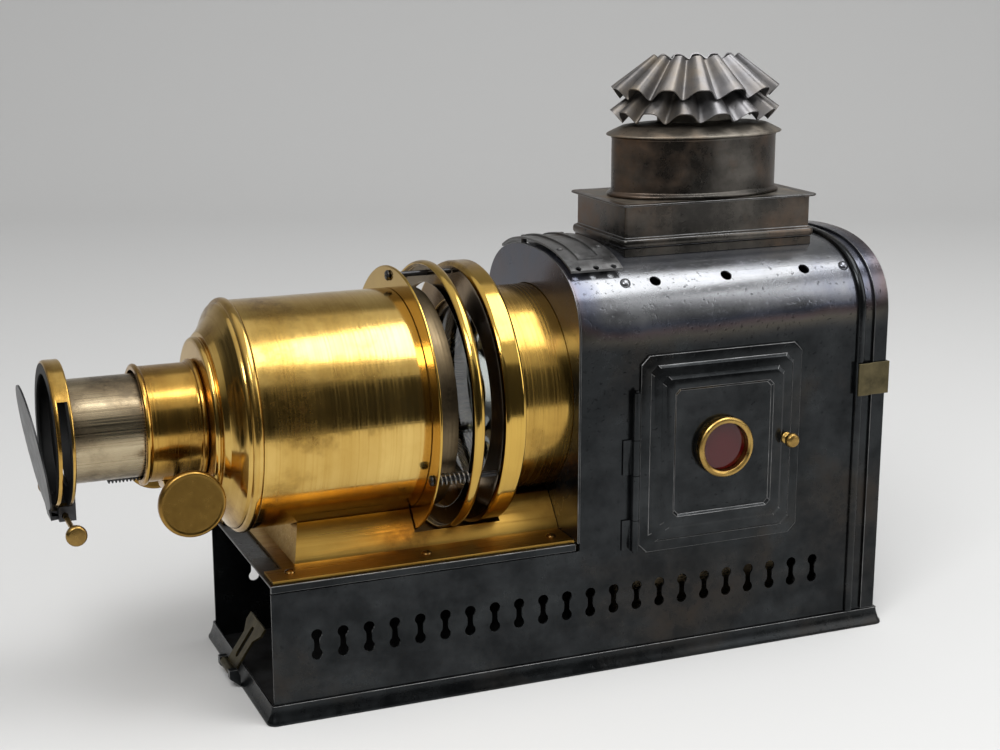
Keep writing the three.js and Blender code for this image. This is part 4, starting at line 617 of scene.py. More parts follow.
# The roof of this iron carries the temper colours and a painted sheen.
iron_body = iron("Planished iron", (0.011, 0.0125, 0.0135), (0.032, 0.035, 0.037), (0.04, 0.029, 0.02),
                 rough=(0.13, 0.3), tint=temper_colours_and_sheen, specks=0.64)
iron_base = iron("Base iron", (0.011, 0.0125, 0.0135), (0.028, 0.031, 0.033), (0.038, 0.028, 0.019),
                 rough=(0.18, 0.36))
iron_door = iron("Door iron", (0.013, 0.0145, 0.0155), (0.037, 0.04, 0.042), (0.038, 0.029, 0.02),
                 rough=(0.12, 0.28))
iron_plate = iron("Roof plate iron", grey(0.1), grey(0.22), (0.07, 0.05, 0.035), rust_at=0.58, grain=120)
iron_chimney = iron("Chimney iron", (0.032, 0.03, 0.027), (0.11, 0.1, 0.088), (0.15, 0.08, 0.04),
                    rough=(0.2, 0.38), rust_at=0.56, grain=34)
iron_lid = iron("Chimney lid iron", (0.12, 0.108, 0.09), (0.28, 0.255, 0.215), (0.22, 0.14, 0.08),
                rough=(0.36, 0.56), rust_at=0.6, grain=70, specks=0.62)
iron_crown = iron("Fluted steel", (0.13, 0.128, 0.132), (0.27, 0.265, 0.272), (0.2, 0.16, 0.105),
                  rough=(0.33, 0.5), rust_at=0.57, grain=65)


# Steel, paint and glass

def plain_metal(name, colour, shade, rough=(0.3, 0.5), metallic=0.95):
    made, tree, shader = new_material(name)
    mottle = noise(tree, 90, 5, 0.6)
    shades = ramp(tree, mottle, (0.35, 0.0), (0.68, 1.0))
    gloss = mix(tree, mottle, grey(rough[0]), grey(rough[1]))
    surface(tree, shader, mix(tree, shades, colour, shade), metallic, gloss)
    bump(tree, shader, mottle, 0.00003)
    return made


def glass(name, colour, rough=0.03, clearness=1.0):
    made, tree, shader = new_material(name)
    smear = noise(tree, 60, 4, 0.6)
    smeared = mix(tree, ramp(tree, smear, (0.4, 0.0), (0.8, 0.35)), colour, scaled(colour, 0.75))
    gloss = mix(tree, ramp(tree, smear, (0.5, 0.0), (0.8, 1.0)), grey(rough), grey(rough + 0.1))
    surface(tree, shader, smeared, 0, gloss)
    shader.inputs["Transmission Weight"].default_value = clearness
    shader.inputs["IOR"].default_value = 1.5
    return made


# Light iron for rounded edges: wear and a painted highlight.
iron_worn = plain_metal("Rubbed iron edge with painted highlight", grey(0.22), grey(0.1), (0.28, 0.44))
iron_inside = plain_metal("Inside iron", (0.03, 0.03, 0.031), (0.014, 0.013, 0.012), (0.5, 0.7), 0.6)
steel_dark = plain_metal("Dark steel", (0.07, 0.07, 0.073), (0.03, 0.03, 0.031), (0.28, 0.46))
steel_bright = plain_metal("Bright steel", (0.34, 0.33, 0.31), (0.16, 0.15, 0.13), (0.22, 0.4))
black_paint = plain_metal("Black paint", grey(0.012), grey(0.006), (0.5, 0.65), 0.1)
glass_clear = glass("Optical glass", (0.9, 0.97, 0.93))
glass_red = glass("Peephole glass", (0.09, 0.002, 0.004), 0.02, 0.4)


# Lamp house and the side walls of the base, folded from one sheet

def dumbbell(x, z, steps=14):
    """The outline of an air hole: two round ends and a narrow waist."""
    length, radius, waist = 17, 3.1, 1.6
    reach = length / 2 - radius
    points = []
    for end in (1, -1):
        for i in range(steps + 1):
            angle = math.radians(-52 + 284 * i / steps)
            points.append((x + end * radius * math.cos(angle),
                           z + end * (reach + radius * math.sin(angle))))
        points += [(x - end * waist, z + end * waist), (x - end * waist, z - end * waist)]
    return points


skin_foot, skin_start, base_top = 0.3, 174.5, 71
air_holes, air_hole_start, air_hole_pitch, air_hole_height = 22, 23.8, 14.32, 40.5
door_opening = (218.6, 302, -70, -58, 80, 169)
flue_opening = (216.9, 332.1, -29.8, 29.8, 200, 262)
outline = house_outline(0, skin_foot) + list(reversed(house_outline(-SHEET, skin_foot)))
shell = raw_object("body_skin", slab(outline, "x", skin_start, HOUSE_END))
holes = []
for side, _ in SIDES:
    near, far = sorted((side * WALL_HALF, side * (WALL_HALF - SHEET)))
    unite(shell, block(0, skin_start + 1.5, near, far, skin_foot, base_top))
    near, far = sorted((side * (WALL_HALF + 3), side * (WALL_HALF - 4)))
    for index in range(air_holes):
        hole = dumbbell(air_hole_start + index * air_hole_pitch, air_hole_height)
        holes.append(slab(hole, "y", near, far))
    for place in (223.8, 268, 318.2):
        holes.append(rod(3.3, -4, 4, 40, *on_roof(place, side * SHOULDER)))
carve(shell, *holes, block(*door_opening), block(*flue_opening))
dress(shell, iron_body, "lantern",
      ("house_side_left", "house_side_right", "roof_sheet", "base_side_left", "base_side_right"),
      "gun_iron", ease=0.22, worn=iron_worn, sharp=38)

front = fine("front_plate", slab(house_outline(0.8, SHELF_TOP + 0.3), "x", HOUSE_START, HOUSE_START + 1.5))
carve(front, rod(CONDENSER_BORE, 160, 190, 160))
stand_in("front_plate", front, iron_body, "gun_iron", ease=0.4, worn=iron_worn)

# Base: rolled rim, folded shelf and floor

rim = [(0.3, 0), (4.3, 0), (4.5, 0.8), (4.3, 1.7), (3.2, 3.2), (2.1, 6.2), (1.6, 8.4), (1.5, 10),
       (0.3, 10)]
rings = [rounded_rectangle(-out, BASE_LENGTH + out, WALL_HALF + out, up, out + 0.4, 4) for out, up in rim]
piece("base_rim", loft(rings, closed=True), iron_base, "gun_iron", ease=0.3, worn=iron_worn, sharp=50)
half, lip = WALL_HALF - 0.4, 71.3
shelf = [(-half, lip), (-half, SHELF_TOP), (half, SHELF_TOP), (half, lip), (half - SHEET, lip),
         (half - SHEET, SHELF_TOP - SHEET), (SHEET - half, SHELF_TOP - SHEET), (SHEET - half, lip)]
piece("base_shelf", slab(shelf, "x", 0, SHELF_END), iron_base, "gun_iron", ease=0.45, worn=iron_worn)
refined("base_floor", iron_inside, "gun_iron", 0.2)

# Rivets on the roof

head = [(0, -0.7), (2.8, -0.7), (3.0, 0.2), (2.7, 0.9), (2.0, 1.45), (1.1, 1.75), (0, 1.85)]
for side, name in SIDES:
    for place in (205.6, 344.3):
        rivet = lathe(head, 32, *on_roof(place, side * SHOULDER), closed=False)
        extra(f"roof_rivet_{name}_{int(place)}", rivet, iron_body, "lantern", "gun_iron")


# Roof plate, left bare, on four small feet

def roof_band(low, high, half, start, end):
    outline = arch(high, half, 40) + list(reversed(arch(low, half, 40)))
    return slab(outline, "x", start, end)


start, length, half = 175, 31, 48
plate = fine("roof_plate", roof_band(3, 4.1, half, start, start + length))
border = raw_object("roof_plate_frame", roof_band(3.6, 5.2, 40, 183, 198))
carve(border, roof_band(0, 9, 37.8, 185.2, 195.8))
combine(plate, border, "UNION")
carve(plate, *[rod(1.7, 0, 8, 24, *on_roof(start + length * share, side * 44.6))
               for side, _ in SIDES for share in (0.16, 0.5, 0.84)])
stand_in("roof_plate", plate, iron_plate, "gun_iron", ease=0.25, worn=iron_worn)
foot = [(0, 0.2), (1.7, 0.2), (1.7, 4.2), (1.5, 4.7), (0.8, 5.0), (0, 5.1)]
for side, name in SIDES:
    for share in (0.12, 0.88):
        stud = lathe(foot, 24, *on_roof(start + length * share, side * half / 2), closed=False)
        extra(f"roof_plate_foot_{name}_{int(share * 100)}", stud, iron_plate, "lantern", "gun_iron")


# Chimney: collar, box with its lid, oval tube, and the brim with the neck that carries the crowns

def box_ring(out, up, corner):
    half_length, half_width = 59.1 + out, 31.6 + out
    return rounded_rectangle(CHIMNEY_X - half_length, CHIMNEY_X + half_length, half_width, up, corner)


refined("chimney_collar", iron_chimney, "brown_iron", 0.3)
box = [(1.3, 231.4), (2.1, 231.7), (2.6, 232.7), (2.75, 233.9), (2.6, 235.2), (2.0, 236.1), (0.6, 236.5),
       (0, 237.0), (0, 253.4), (0.3, 254.3), (3.8, 254.6), (3.8, 255.7), (-1.2, 255.7), (-1.2, 231.4)]
rings = [box_ring(out, up, max(0.8, 1.6 + out)) for out, up in box]
chimney_box = fine("chimney_box", loft(rings, closed=True))
tube_length, tube_width = 51, 28.6
edge = [(p.x, p.y) for p in box_ring(SHEET, 0, 2.0)]
hole = [(p.x, p.y) for p in oval(tube_length - 1.1, tube_width - 1.1, 0)]
lid = raw_object("chimney_box_lid", slab(edge, "z", 254.75, 255.6))
carve(lid, slab(hole, "z", 250, 260))
stand_in("chimney_box", chimney_box, iron_chimney, "brown_iron", ease=0.3, worn=iron_worn, sharp=40)
dress(lid, iron_lid, "chimney", slot="brown_iron", ease=0.2)

tube = [(2.0, 256.0), (2.35, 256.5), (2.35, 257.2), (1.9, 257.8), (0.6, 258.5), (0, 259.3), (0, 287.9),
        (0.3, 288.4), (0.3, 289.2), (0, 289.6), (-1.1, 289.6), (-1.1, 256.0)]
rings = [oval(tube_length + out, tube_width + out, up) for out, up in tube]
piece("chimney_tube", loft(rings, closed=True), iron_chimney, "brown_iron", sharp=60)
brim = [(54.0, 31.6, 289.9), (54.2, 31.8, 290.4), (53.8, 31.5, 290.9), (51.8, 29.9, 291.9),
        (48.6, 27.2, 293.4), (45.3, 24.1, 294.9), (40, 20.0, 295.7), (31, 13.6, 296.0), (25.2, 9.8, 296.4),
        (24.1, 8.7, 297.4), (24.1, 8.7, 330.4), (23.0, 7.6, 330.4), (23.0, 7.6, 294.0), (44.6, 23.6, 293.4),
        (49.8, 27.4, 290.0)]
piece("chimney_cowl", loft([oval(*ring) for ring in brim], closed=True), iron_lid, "brown_iron", sharp=60)


# Crowns

def crown(bottom, half_pitches):
    """A fluted cone of sheet: wide round lobes and narrow valleys that fade towards the top."""
    flutes, count, levels, height, thickness = 14, 14 * 20, 14, 19, 0.84
    foot_length, foot_width, foot_swing = 49.2, 28.2, 4.1
    top_length, top_width, top_swing = 26, 10.6, 1.9
    bends = [random.uniform(0.92, 1.12) for _ in range(flutes)]
    leans = [random.uniform(-0.22, 0.22) for _ in range(flutes)]

    def blend(values, turn):
        """The values joined smoothly round the crown, one to a flute."""
        place = turn / (2 * math.pi) * flutes
        first, part = int(place) % flutes, place - int(place)
        part = part * part * (3 - 2 * part)
        return values[first] * (1 - part) + values[(first + 1) % flutes] * part

    def ring(share, side):
        points = []
        for i in range(count):
            angle = 2 * math.pi * i / count
            phase = flutes * angle + math.pi * half_pitches + blend(leans, angle)
            wave = 1 - 2 * ((1 - math.cos(phase)) / 2) ** 2
            bend = 1 + (blend(bends, angle) - 1) * (1 - share)
            swing = (foot_swing + (top_swing - foot_swing) * share) * wave * bend
            length = foot_length + (top_length - foot_length) * share
            width = foot_width + (top_width - foot_width) * share
            cos, sin = math.cos(angle), math.sin(angle)
            away = Vector((cos / length, sin / width, 0)).normalized()
            run = math.hypot((foot_length - top_length) * cos, (foot_width - top_width) * sin)
            outward = (away * height + Vector((0, 0, run))).normalized()
            point = Vector((CHIMNEY_X + length * cos, width * sin, bottom + height * share))
            points.append(point + outward * (swing + side * thickness / 2))
        return points

    rows = [i / (levels - 1) for i in range(levels)]
    return loft([ring(s, 1) for s in rows] + [ring(s, -1) for s in reversed(rows)], closed=True)


piece("crown_lower", crown(300.5, 1), iron_crown, "grey_steel", sharp=70)
piece("crown_upper", crown(313.4, 0), iron_crown, "grey_steel", sharp=70)

# Condenser

tube = [(57.8, 129), (57.8, 174.5), (61.8, 174.5), (61.8, 175.7), (56.6, 175.7), (56.6, 129)]
piece("condenser_tube", lathe(eased(tube, 0.25), 160), brass_condenser, "polished_brass")
cell = [(56.0, 129.3), (56.0, 169.3), (48.9, 169.3), (48.9, 167.7), (50.8, 167.7), (50.8, 130.9),
        (48.9, 130.9), (48.9, 129.3)]
piece("condenser_cell", lathe(eased(cell, 0.2), 96), brass_tube, "dull_brass")


# Glasses

def lens(radius, edge, sag, place, direction, rings=14):
    """A glass with one flat face."""
    sphere = (radius ** 2 + sag ** 2) / (2 * sag)
    profile = [(0, 0), (radius - 0.3, 0), (radius, 0.3), (radius, edge)]
    for i in range(1, rings + 1):
        across = radius * (1 - i / rings)
        profile.append((across, edge + math.sqrt(sphere ** 2 - across ** 2) - (sphere - sag)))
    return lathe(profile, 96, (place, 0, AXIS), (direction, 0, 0), closed=False)


for node, shape in (("condenser_front_lens", lens(50.5, 3, 14, 131.2, 1)),
                    ("condenser_rear_lens", lens(50.5, 3, 14, 167.4, -1)),
                    ("objective_front_lens", lens(25.6, 2, 3.4, -84, 1)),
                    ("objective_rear_lens", lens(25.6, 2, 3.4, 4, 1))):
    piece(node, shape, glass_clear, "clear_glass")

# Slide stage: back ring, front flange with its short ring, and the sprung plate on three rods

rod_circle, rod_bore = 68.4, 1.8
rod_spots = [(rod_circle * math.cos(math.radians(a)), AXIS + rod_circle * math.sin(math.radians(a)))
             for a in (86, 206, 326)]
back = [(52, 126.9), (68.5, 126.4), (71.2, 126.1), (73.2, 127.0), (73.7, 128.6), (73.7, 137.2),
        (73.1, 138.3), (72.3, 138.6), (71.1, 138.6), (71.1, 128.7), (52, 128.7)]
piece("stage_back_ring", lathe(eased(back, 0.5, steps=4), 192), brass_ring, "polished_brass", sharp=50)

profile = [(59.8, FLANGE_FACE), (73.0, FLANGE_FACE), (73.6, 90.3), (73.6, 91.1), (73.0, 91.5),
           (59.8, 91.5)]
flange = fine("stage_front_flange", lathe(eased(profile, 0.2), 192))
carve(flange, *[rod(rod_bore, 80, 100, 24, (0, y, z)) for y, z in rod_spots])
stand_in("stage_front_flange", flange, brass_stage, "polished_brass", sharp=50)
short_ring = [(61, 91.7), (61, 105), (59.8, 105), (59.8, 91.7)]
extra("stage_short_ring", lathe(eased(short_ring, 0.3), 160), brass_dull_ring, "lantern", "dull_brass")

profile = [(62.8, 111.8), (72.6, 111.8), (72.8, 109.6), (73.4, 108.7), (74.4, 109.4), (75.0, 111.0),
           (75.0, 112.8), (74.4, 114.2), (73.2, 115.0), (62.8, 115.0)]
sprung = fine("pressure_plate", lathe(eased(profile, 0.5, steps=4), 192))
carve(sprung, *[rod(rod_bore, 100, 120, 24, (0, y, z)) for y, z in rod_spots])
stand_in("pressure_plate", sprung, brass_plate, "polished_brass", sharp=50)

profile = [(0, 88.0), (2.1, 88.05), (2.9, 88.8), (2.9, 89.6), (1.5, 89.6), (1.5, 125.8), (0, 125.8)]
profile = eased(profile, 0.2, closed=False)
for (y, z), name in zip(rod_spots, ("top", "left", "right")):
    stage_rod = fine(f"stage_rod_{name}", lathe(profile, 32, (0, y, z), closed=False))
    carve(stage_rod, block(86, 88.7, y - 4, y + 4, z - 0.35, z + 0.35))
    stand_in(f"stage_rod_{name}", stage_rod, steel_dark, "dark_steel")

# Stage springs

start, end, radius, stub, coils, steps = 91.8, 111.5, 3, 0.9, 7, 28
for (y, z), name in zip(rod_spots[1:], ("left", "right")):
    path = [(start, y + radius, z)]
    for i in range(coils * steps + 1):
        turn = 2 * math.pi * i / steps
        path.append((start + stub + (end - start - 2 * stub) * i / (coils * steps),
                     y + radius * math.cos(turn), z + radius * math.sin(turn)))
    path.append((end, y + radius, z))
    spring = piece(f"stage_spring_{name}", wire(path, 0.45), steel_bright, "dark_steel", sharp=70)
    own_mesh(spring)

# Barrel and nose

barrel = [(61.4, 0), (61.4, 89.6), (60.2, 89.6), (60.2, 0)]
piece("barrel", lathe(eased(barrel, 0.2), 192), brass_barrel, "polished_brass", worn=iron_inside, sharp=50,
      bore=60.3)
nose = [(58.0, 6), (59.9, 6), (59.9, -0.3), (61.9, -0.35), (62.8, -1.1), (63.0, -2.4), (62.9, -3.6),
        (62.3, -4.7), (61.2, -5.5), (60.4, -5.7), (60.2, -6.6), (59.6, -7.5), (57.4, -8.8), (54.4, -10.2),
        (51.4, -11.8), (48.6, -13.7), (46.6, -15.6), (45.6, -16.6), (43.0, -16.9), (42.7, -17.3),
        (43.3, -18.0), (43.4, -19.2), (42.6, -20.3), (41.0, -20.6), (30.8, -20.6), (30.8, -18.7),
        (40, -18.7), (44, -14.4), (52, -9.4), (57.4, -5)]
piece("barrel_nose", lathe(eased(nose, 0.35), 192), brass_nose, "polished_brass", sharp=55)

# Lens jacket, open below for the rack and the pinion, and the pinion's bracket

profile = [(28.9, -53), (30.9, -53), (31.8, -52.5), (32.1, -51.6), (31.8, -50.6), (30.8, -50.0),
           (30.5, -49.5), (30.5, -24.6), (30.8, -23.9), (31.8, -23.4), (32.1, -22.4), (31.8, -21.4),
           (30.9, -20.9), (30.5, -20.3), (30.5, 6), (28.9, 6)]
jacket = fine("lens_jacket", lathe(eased(profile, 0.2), 160))
carve(jacket, block(-56, 9, -2.8, 2.8, 112, 124))
carve(jacket, block(-38.5, -30.1, -10, 10, 112, 124))
stand_in("lens_jacket", jacket, brass_jacket, "polished_brass", sharp=50)
refined("pinion_bracket", brass_jacket, "polished_brass", 0.5, worn=brass_worn, sharp=50)
head = [(0, 0), (1.3, 0), (1.35, 0.7), (0.9, 1.1), (0, 1.2)]
for side, name in SIDES:
    for offset, end in ((-5.6, "front"), (5.6, "rear")):
        place = (PINION_X + offset, side * 7.6, 122.6)
        screw = lathe(head, 20, place, (0, side * 0.5, -1), closed=False)
        extra(f"bracket_screw_{name}_{end}", screw, steel_dark, "lantern", "dark_steel")

# Draw tube with its rack, and the hood ring with its slot

tube = [(27.1, -89.2), (27.1, 14), (25.9, 14), (25.9, -89.2)]
piece("draw_tube", lathe(eased(tube, 0.2), 160), brass_tube, "dull_brass", worn=black_paint, sharp=50,
      bore=26.3)
refined("focus_rack", steel_dark, "dark_steel", 0.0, sharp=20)
profile = [(27.4, -91), (36.5, -91), (36.5, -97), (31, -97), (31, HOOD_FACE), (36.2, HOOD_FACE),
           (37.4, -98.0), (38, -96.9), (38, -90.2), (37.6, -89.5), (27.4, -89.5)]
hood = fine("hood_ring", lathe(eased(profile, 0.35, steps=4), 160))
carve(hood, block(-96.4, -91.2, -42, -6.6, 111, 174.6))
stand_in("hood_ring", hood, brass_nose, "polished_brass", worn=black_paint, sharp=45, bore=36.6)
refined("hood_bracket", steel_dark, "dark_steel", 0.35)

# Pinion and focusing wheels

refined("pinion_shaft", steel_dark, "dark_steel", 0.0, sharp=25)
profile = [(0, 46.9), (14.9, 46.9), (15.3, 47.05), (15.9, 47.2), (16.6, 47.0), (17.25, 46.4), (17.4, 45.6),
           (17.4, 43.4), (17.1, 42.5), (16.4, 42), (9.0, 42), (7.0, 41.6), (6.0, 39.2), (5.2, 37.2),
           (3.6, 35.2), (1.75, 35), (1.75, 44.6), (0, 44.6)]
profile = eased(profile, 0.3, closed=False)
for side, name in SIDES:
    wheel = lathe(profile, 128, (PINION_X, 0, SHAFT_Z), (0, side, 0), closed=False)
    piece(f"focus_wheel_{name}", wheel, brass_wheel, "satin_brass", sharp=50)

# Flap, which leans open, with its pin and knobs

half_pin = [(0, 47.9), (3.9, 47.85), (4.7, 47.5), (5.25, 46.8), (5.4, 45.6), (5.2, 44.3), (4.5, 43.0),
            (3.4, 41.9), (2.6, 41.4), (2.4, 40.9), (2.9, 40.3), (3.2, 40.0), (1.4, 39.4), (1.3, 0)]
profile = half_pin + [(radius, -distance) for radius, distance in reversed(half_pin[:-1])]
pin = Vector((FLAP_X, 0, FLAP_Z))
piece("flap_shaft", lathe(profile, 48, pin, (0, 1, 0), closed=False), brass_small, "satin_brass", sharp=50)


def opened(shape):
    lean = Matrix.Rotation(math.radians(-9), 3, "Y")
    return [pin + lean @ (p - pin) for p in shape[0]], shape[1]


flap_back = HOOD_FACE - 0.6
flap_front = flap_back - 0.9
radius, tongue = 33, 6.5
centre = FLAP_Z + radius + 3.25
meet = math.asin(tongue / radius)
outline = [(-tongue, FLAP_Z), (tongue, FLAP_Z)]
for i in range(97):
    angle = -math.pi / 2 + meet + (2 * math.pi - 2 * meet) * i / 96
    outline.append((radius * math.cos(angle), centre + radius * math.sin(angle)))
flap = fine("flap_disc", opened(slab(outline, "x", flap_front, flap_back)))
arm = [(flap_front, FLAP_Z - 2.6), (FLAP_X, FLAP_Z - 2.9), (FLAP_X + 1.4, FLAP_Z - 2.0),
       (FLAP_X + 1.4, FLAP_Z + 1.2), (flap_front, FLAP_Z + 2.6)]
unite(flap, opened(slab(arm, "y", -6.4, 6.4)))
carve(flap, rod(1.45, -9, 9, 32, pin, (0, 1, 0)))
stand_in("flap_disc", flap, steel_dark, "dark_steel", ease=0.2, worn=iron_worn)

# Saddle: a flanged sheet with a raised middle, hollowed to the barrel, the stage and the condenser

foot, end = 75.55, SHELF_END
flange = [(2, -61), (end, -61), (end, 61), (2, 61), (2, 44), (12, 44), (12, -44), (2, -44)]
rings = [[(start, -half, up), (end, -half, up), (end, half, up), (start, half, up)]
         for start, half, up in ((19, 40, foot), (20.5, 38.6, 79), (26, 25, 95))]
saddle = fine("saddle", slab(flange, "z", foot, foot + 1.5))
unite(saddle, loft(rings, caps=True))
carve(saddle, rod(61.7, -20, FLANGE_FACE, 160))
carve(saddle, rod(75.3, 89.3, 139.2, 160))
carve(saddle, rod(CONDENSER_BORE, 138.6, 180, 160))
stand_in("saddle", saddle, brass_saddle, "saddle_brass", ease=0.5, worn=brass_worn, sharp=25)
head = [(0, 0), (2.75, 0), (2.9, 0.35), (2.5, 1.05), (1.6, 1.5), (0, 1.68)]
for side, name in SIDES:
    y = side * 50.5
    for x in (14, 90, 163):
        turned = lathe(head, 32, (x, y, 77.0), (0, 0, 1), closed=False)
        screw = raw_object(f"saddle_screw_{name}_{x}", turned)
        carve(screw, block(x - 4, x + 4, y - 0.35, y + 0.35, 77.8, 80))
        dress(screw, brass_screw, "lantern", slot="saddle_brass")

# Side door with two raised steps, a sunk panel and its hinge

door_start, door_end, door_foot, door_top = 209.6, 311, 65.4, 178
door_back, door_face = -64.3, -65.7
door_middle = (door_start + door_end) / 2
peep_height, peep_radius = 123, 13.8
outwards = (0, -1, 0)


def chamfered(inset, y):
    """The door's outline drawn in by an inset, at a depth."""
    x0, x1, z0, z1 = door_start + inset, door_end - inset, door_foot + inset, door_top - inset
    c = 5.0 - 0.12 * inset
    return [(x, y, z) for x, z in ((x0 + c, z0), (x1 - c, z0), (x1, z0 + c), (x1, z1 - c), (x1 - c, z1),
                                   (x0 + c, z1), (x0, z1 - c), (x0, z0 + c))]


relief = [(0, 0.5), (0.2, 0.15), (0.7, 0), (5.6, 0), (5.9, -0.1), (7.2, -1.35), (7.6, -1.5),
          (12.0, -1.5), (12.3, -1.6), (13.9, -2.85), (14.3, -3.0), (19.2, -3.0), (19.6, -2.9),
          (20.8, -1.75), (21.2, -1.65)]
rings = [chamfered(0, door_back)] + [chamfered(inset, door_face + out) for inset, out in relief]
door = fine("side_door", loft(rings, caps=True))
carve(door, rod(peep_radius, -6, 12, 96, (door_middle, door_back, peep_height), outwards),
      rod(peep_radius + 2.5, 0.05, 12, 96, (door_middle, door_face, peep_height), outwards))

hinge_x, hinge_y, gap = 206.6, -66.8, 0.15
low, high = door_foot + 2.5, door_top - 19.5
breaks = [low + (high - low) * share for share in (0, 0.198, 0.481, 0.705, 1)]
knuckles = [(start + gap, end - gap) for start, end in zip(breaks, breaks[1:])]
for start, end in knuckles[1::2]:
    leaf = block(hinge_x + 1.2, door_start + 0.3, door_face + 0.1, door_face + 0.9, start, end)
    extra("door_leaf", leaf, iron_door, "side_door", "gun_iron")
stand_in("side_door", door, iron_door, "gun_iron", ease=0.3, worn=iron_worn, sharp=24)
for index, (start, end) in enumerate(knuckles):
    profile = eased([(1.45, start), (2.2, start), (2.2, end), (1.45, end)], 0.25)
    extra(f"side_hinge_knuckle_{index + 1}", lathe(profile, 40, (hinge_x, hinge_y, 0), (0, 0, 1)),
          iron_door, "side_door" if index % 2 else "lantern", "gun_iron")
refined("side_door_hinge", iron_door, "gun_iron", 0.2)

# Peephole and door knob

centre = (door_middle, door_face, peep_height)
profile = [(peep_radius, 0.3), (16, 0.3), (16, 4.2), (17.1, 5.2), (17.2, 6.0), (16.4, 6.8), (15.2, 7.0),
           (peep_radius, 6.2)]
ring = lathe(eased(profile, 0.3), 128, centre, outwards)
piece("peephole_ring", ring, brass_small, "satin_brass", sharp=50)
piece("peephole_glass", rod(peep_radius - 0.3, 0.3, 2.3, 96, centre, outwards), glass_red, "red_glass")
profile = [(0, 0.3), (3.4, 0.3), (3.2, 0.9), (1.8, 1.8), (1.7, 3.0), (3.4, 4.3), (4.2, 5.6), (4.1, 7.4),
           (3.4, 8.6), (1.8, 9.0), (0, 9.0)]
centre = (door_end - 9.6, door_face - 1.5, peep_height)
knob = lathe(eased(profile, 0.3, closed=False), 64, centre, outwards, closed=False)
piece("side_door_knob", knob, brass_small, "satin_brass", sharp=60)

# Rear door, a pan with a raised step, the bead before it, its hinges and its latch

rear_foot = 10.6
bead = ((0.3, 347.8), (1.2, 347.9), (2.0, 348.5), (2.4, 349.6), (2.4, 351.0), (2.0, 352.1), (1.2, 352.7),
        (0.3, 352.8))
rings = [[(x, y, z) for y, z in house_outline(out, rear_foot)] for out, x in bead]
piece("rear_bead", loft(rings, closed=True, open_rings=True), iron_door, "gun_iron", sharp=50)

pan_inside = 366.3
pan_back = pan_inside + SHEET
rim_start = pan_back - 9
pan = fine("rear_door", slab(house_outline(1.68, rear_foot), "x", rim_start, pan_back))
carve(pan, slab(house_outline(0.48, rear_foot - 3), "x", rim_start - 3, pan_inside))
rings = [[(x, y, z) for y, z in house_outline(-inset, rear_foot + inset)]
         for inset, x in ((10.0, 366.9), (10.4, 367.9), (11.4, 368.9), (12.4, 369.1))]
unite(pan, loft(rings, caps=True))
stand_in("rear_door", pan, iron_body, "gun_iron", ease=0.35, worn=iron_worn, sharp=38)

hinge_x, hinge_y, half = rim_start - 2.5, WALL_HALF + 0.48 + SHEET + 1.1, 8
for height, name in ((52, "lower"), (176, "upper")):
    low, high = height - half / 3 + 0.3, height + half / 3 - 0.3
    profile = eased([(1.4, low), (2.2, low), (2.2, high), (1.4, high)], 0.2)
    eye = lathe(profile, 40, (hinge_x, hinge_y, 0), (0, 0, 1))
    extra(f"rear_hinge_eye_{name}", eye, iron_door, "rear_door", "gun_iron")
    strap = block(hinge_x + 1.8, rim_start + 4.5, 65.2, 66.4, height - 2.2, height + 2.2)
    extra(f"rear_hinge_strap_{name}", strap, iron_door, "rear_door", "gun_iron", ease=0.2)
    refined(f"rear_hinge_{name}", iron_door, "gun_iron", 0.2)
refined("rear_latch", brass_hasp, "dull_brass", 0.35)

# Hasp in the mouth of the base

refined("hasp_lugs", iron_base, "gun_iron", worn=iron_worn)
refined("hasp_plate", brass_hasp, "dull_brass", 0.3, worn=brass_worn)

# Lamp inside the house

refined("lamp_tray", iron_chimney, "brown_iron")
refined("oil_tank", brass_tube, "dull_brass", 0.5)
refined("flame_chamber", iron_inside, "dark_steel", 0.2)
refined("wick_spindle", brass_small, "dull_brass")


# Floor that bends up into a backdrop, in metres

def turned_sheet(name, points, faces, paint_name, colour, rough):
    """A sheet of one plain paint that faces the camera."""
    mesh = bpy.data.meshes.new(name)
    mesh.from_pydata([Matrix.Rotation(-TURN, 3, "Z") @ Vector(p) for p in points], [], faces)
    paint, tree, shader = new_material(paint_name)
    surface(tree, shader, (*colour, 1), 0, rough)
    mesh.materials.append(paint)
    return new_object(name, mesh)


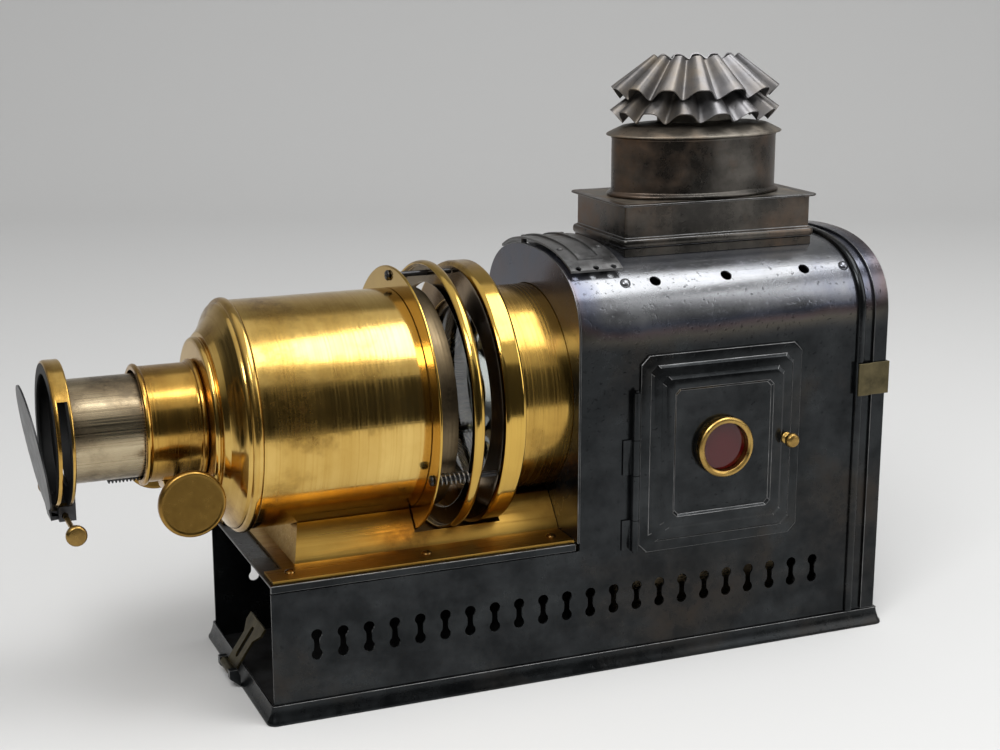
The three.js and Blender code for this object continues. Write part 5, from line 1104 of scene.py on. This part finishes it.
half_width, bend_start, bend, steps = 5.0, 1.6, 0.8, 16
profile = [(-3.0, 0.0), (bend_start, 0.0)]
for i in range(1, steps + 1):
    angle = math.pi / 2 * i / steps
    profile.append((bend_start + bend * math.sin(angle), bend - bend * math.cos(angle)))
profile.append((bend_start + bend, 4.0))
points = [(x, y, z) for y, z in profile for x in (-half_width, half_width)]
faces = [[2 * i, 2 * i + 1, 2 * i + 3, 2 * i + 2] for i in range(len(profile) - 1)]
floor = turned_sheet("floor", points, faces, "Studio floor", (0.6, 0.6, 0.595), 0.85)
for face in floor.data.polygons:
    face.use_smooth = True

# Dark card that only shows as the dark band in the brass

left, right, near, low, high = -1.1, 0.9, -0.66, 0.002, 0.72
points = [(left, near, low), (right, near, low), (right, near, high), (left, near, high)]
card = turned_sheet("dark_card", points, [[0, 1, 2, 3]], "Dark card", grey(0.012), 0.9)
card.visible_camera = False
card.visible_diffuse = False
card.visible_shadow = False
card.visible_transmission = False

# Room, dark at eye level and bright above, that the camera sees as plain pale grey

world = bpy.data.worlds.new("Studio")
bpy.context.scene.world = world
world.use_nodes = True
tree = world.node_tree
background = tree.nodes["Background"]
background.inputs["Strength"].default_value = 0.9
height = maths(tree, "MULTIPLY", maths(tree, "ADD", coordinate(tree, "Z", "Generated"), 1.0), 0.5)
room = ramp(tree, height, (0.0, 0.3), (0.49, 0.14), (0.53, 0.035), (0.62, 0.06), (0.72, 0.5), (1.0, 0.9))
tree.links.new(room, background.inputs["Color"])
seen = add_node(tree, "Background", Color=(*grey(0.8), 1))
choice = add_node(tree, "MixShader", Fac=add_node(tree, "LightPath").outputs["Is Camera Ray"])
tree.links.new(background.outputs[0], choice.inputs[1])
tree.links.new(seen.outputs[0], choice.inputs[2])
tree.links.new(choice.outputs[0], tree.nodes["World Output"].inputs["Surface"])


# Lights

def area_light(name, place, target, size, power):
    data = bpy.data.lights.new(name, "AREA")
    data.shape = "RECTANGLE"
    data.size, data.size_y = size
    data.energy = power
    lamp = new_object(name, data)
    lamp.location = place
    lamp.rotation_euler = (Vector(target) - Vector(place)).to_track_quat("-Z", "Y").to_euler()


area_light("key", (-0.9, -1.1, 1.5), (0, 0, 0.15), (0.9, 0.9), 24)
area_light("fill", (1.3, -1.0, 0.9), (0, 0, 0.15), (0.8, 1.2), 8)
area_light("top", (0.62, -0.35, 1.75), (0.05, 0, 0.15), (1.3, 0.8), 17)

bpy.context.scene.view_settings.view_transform = "Standard"
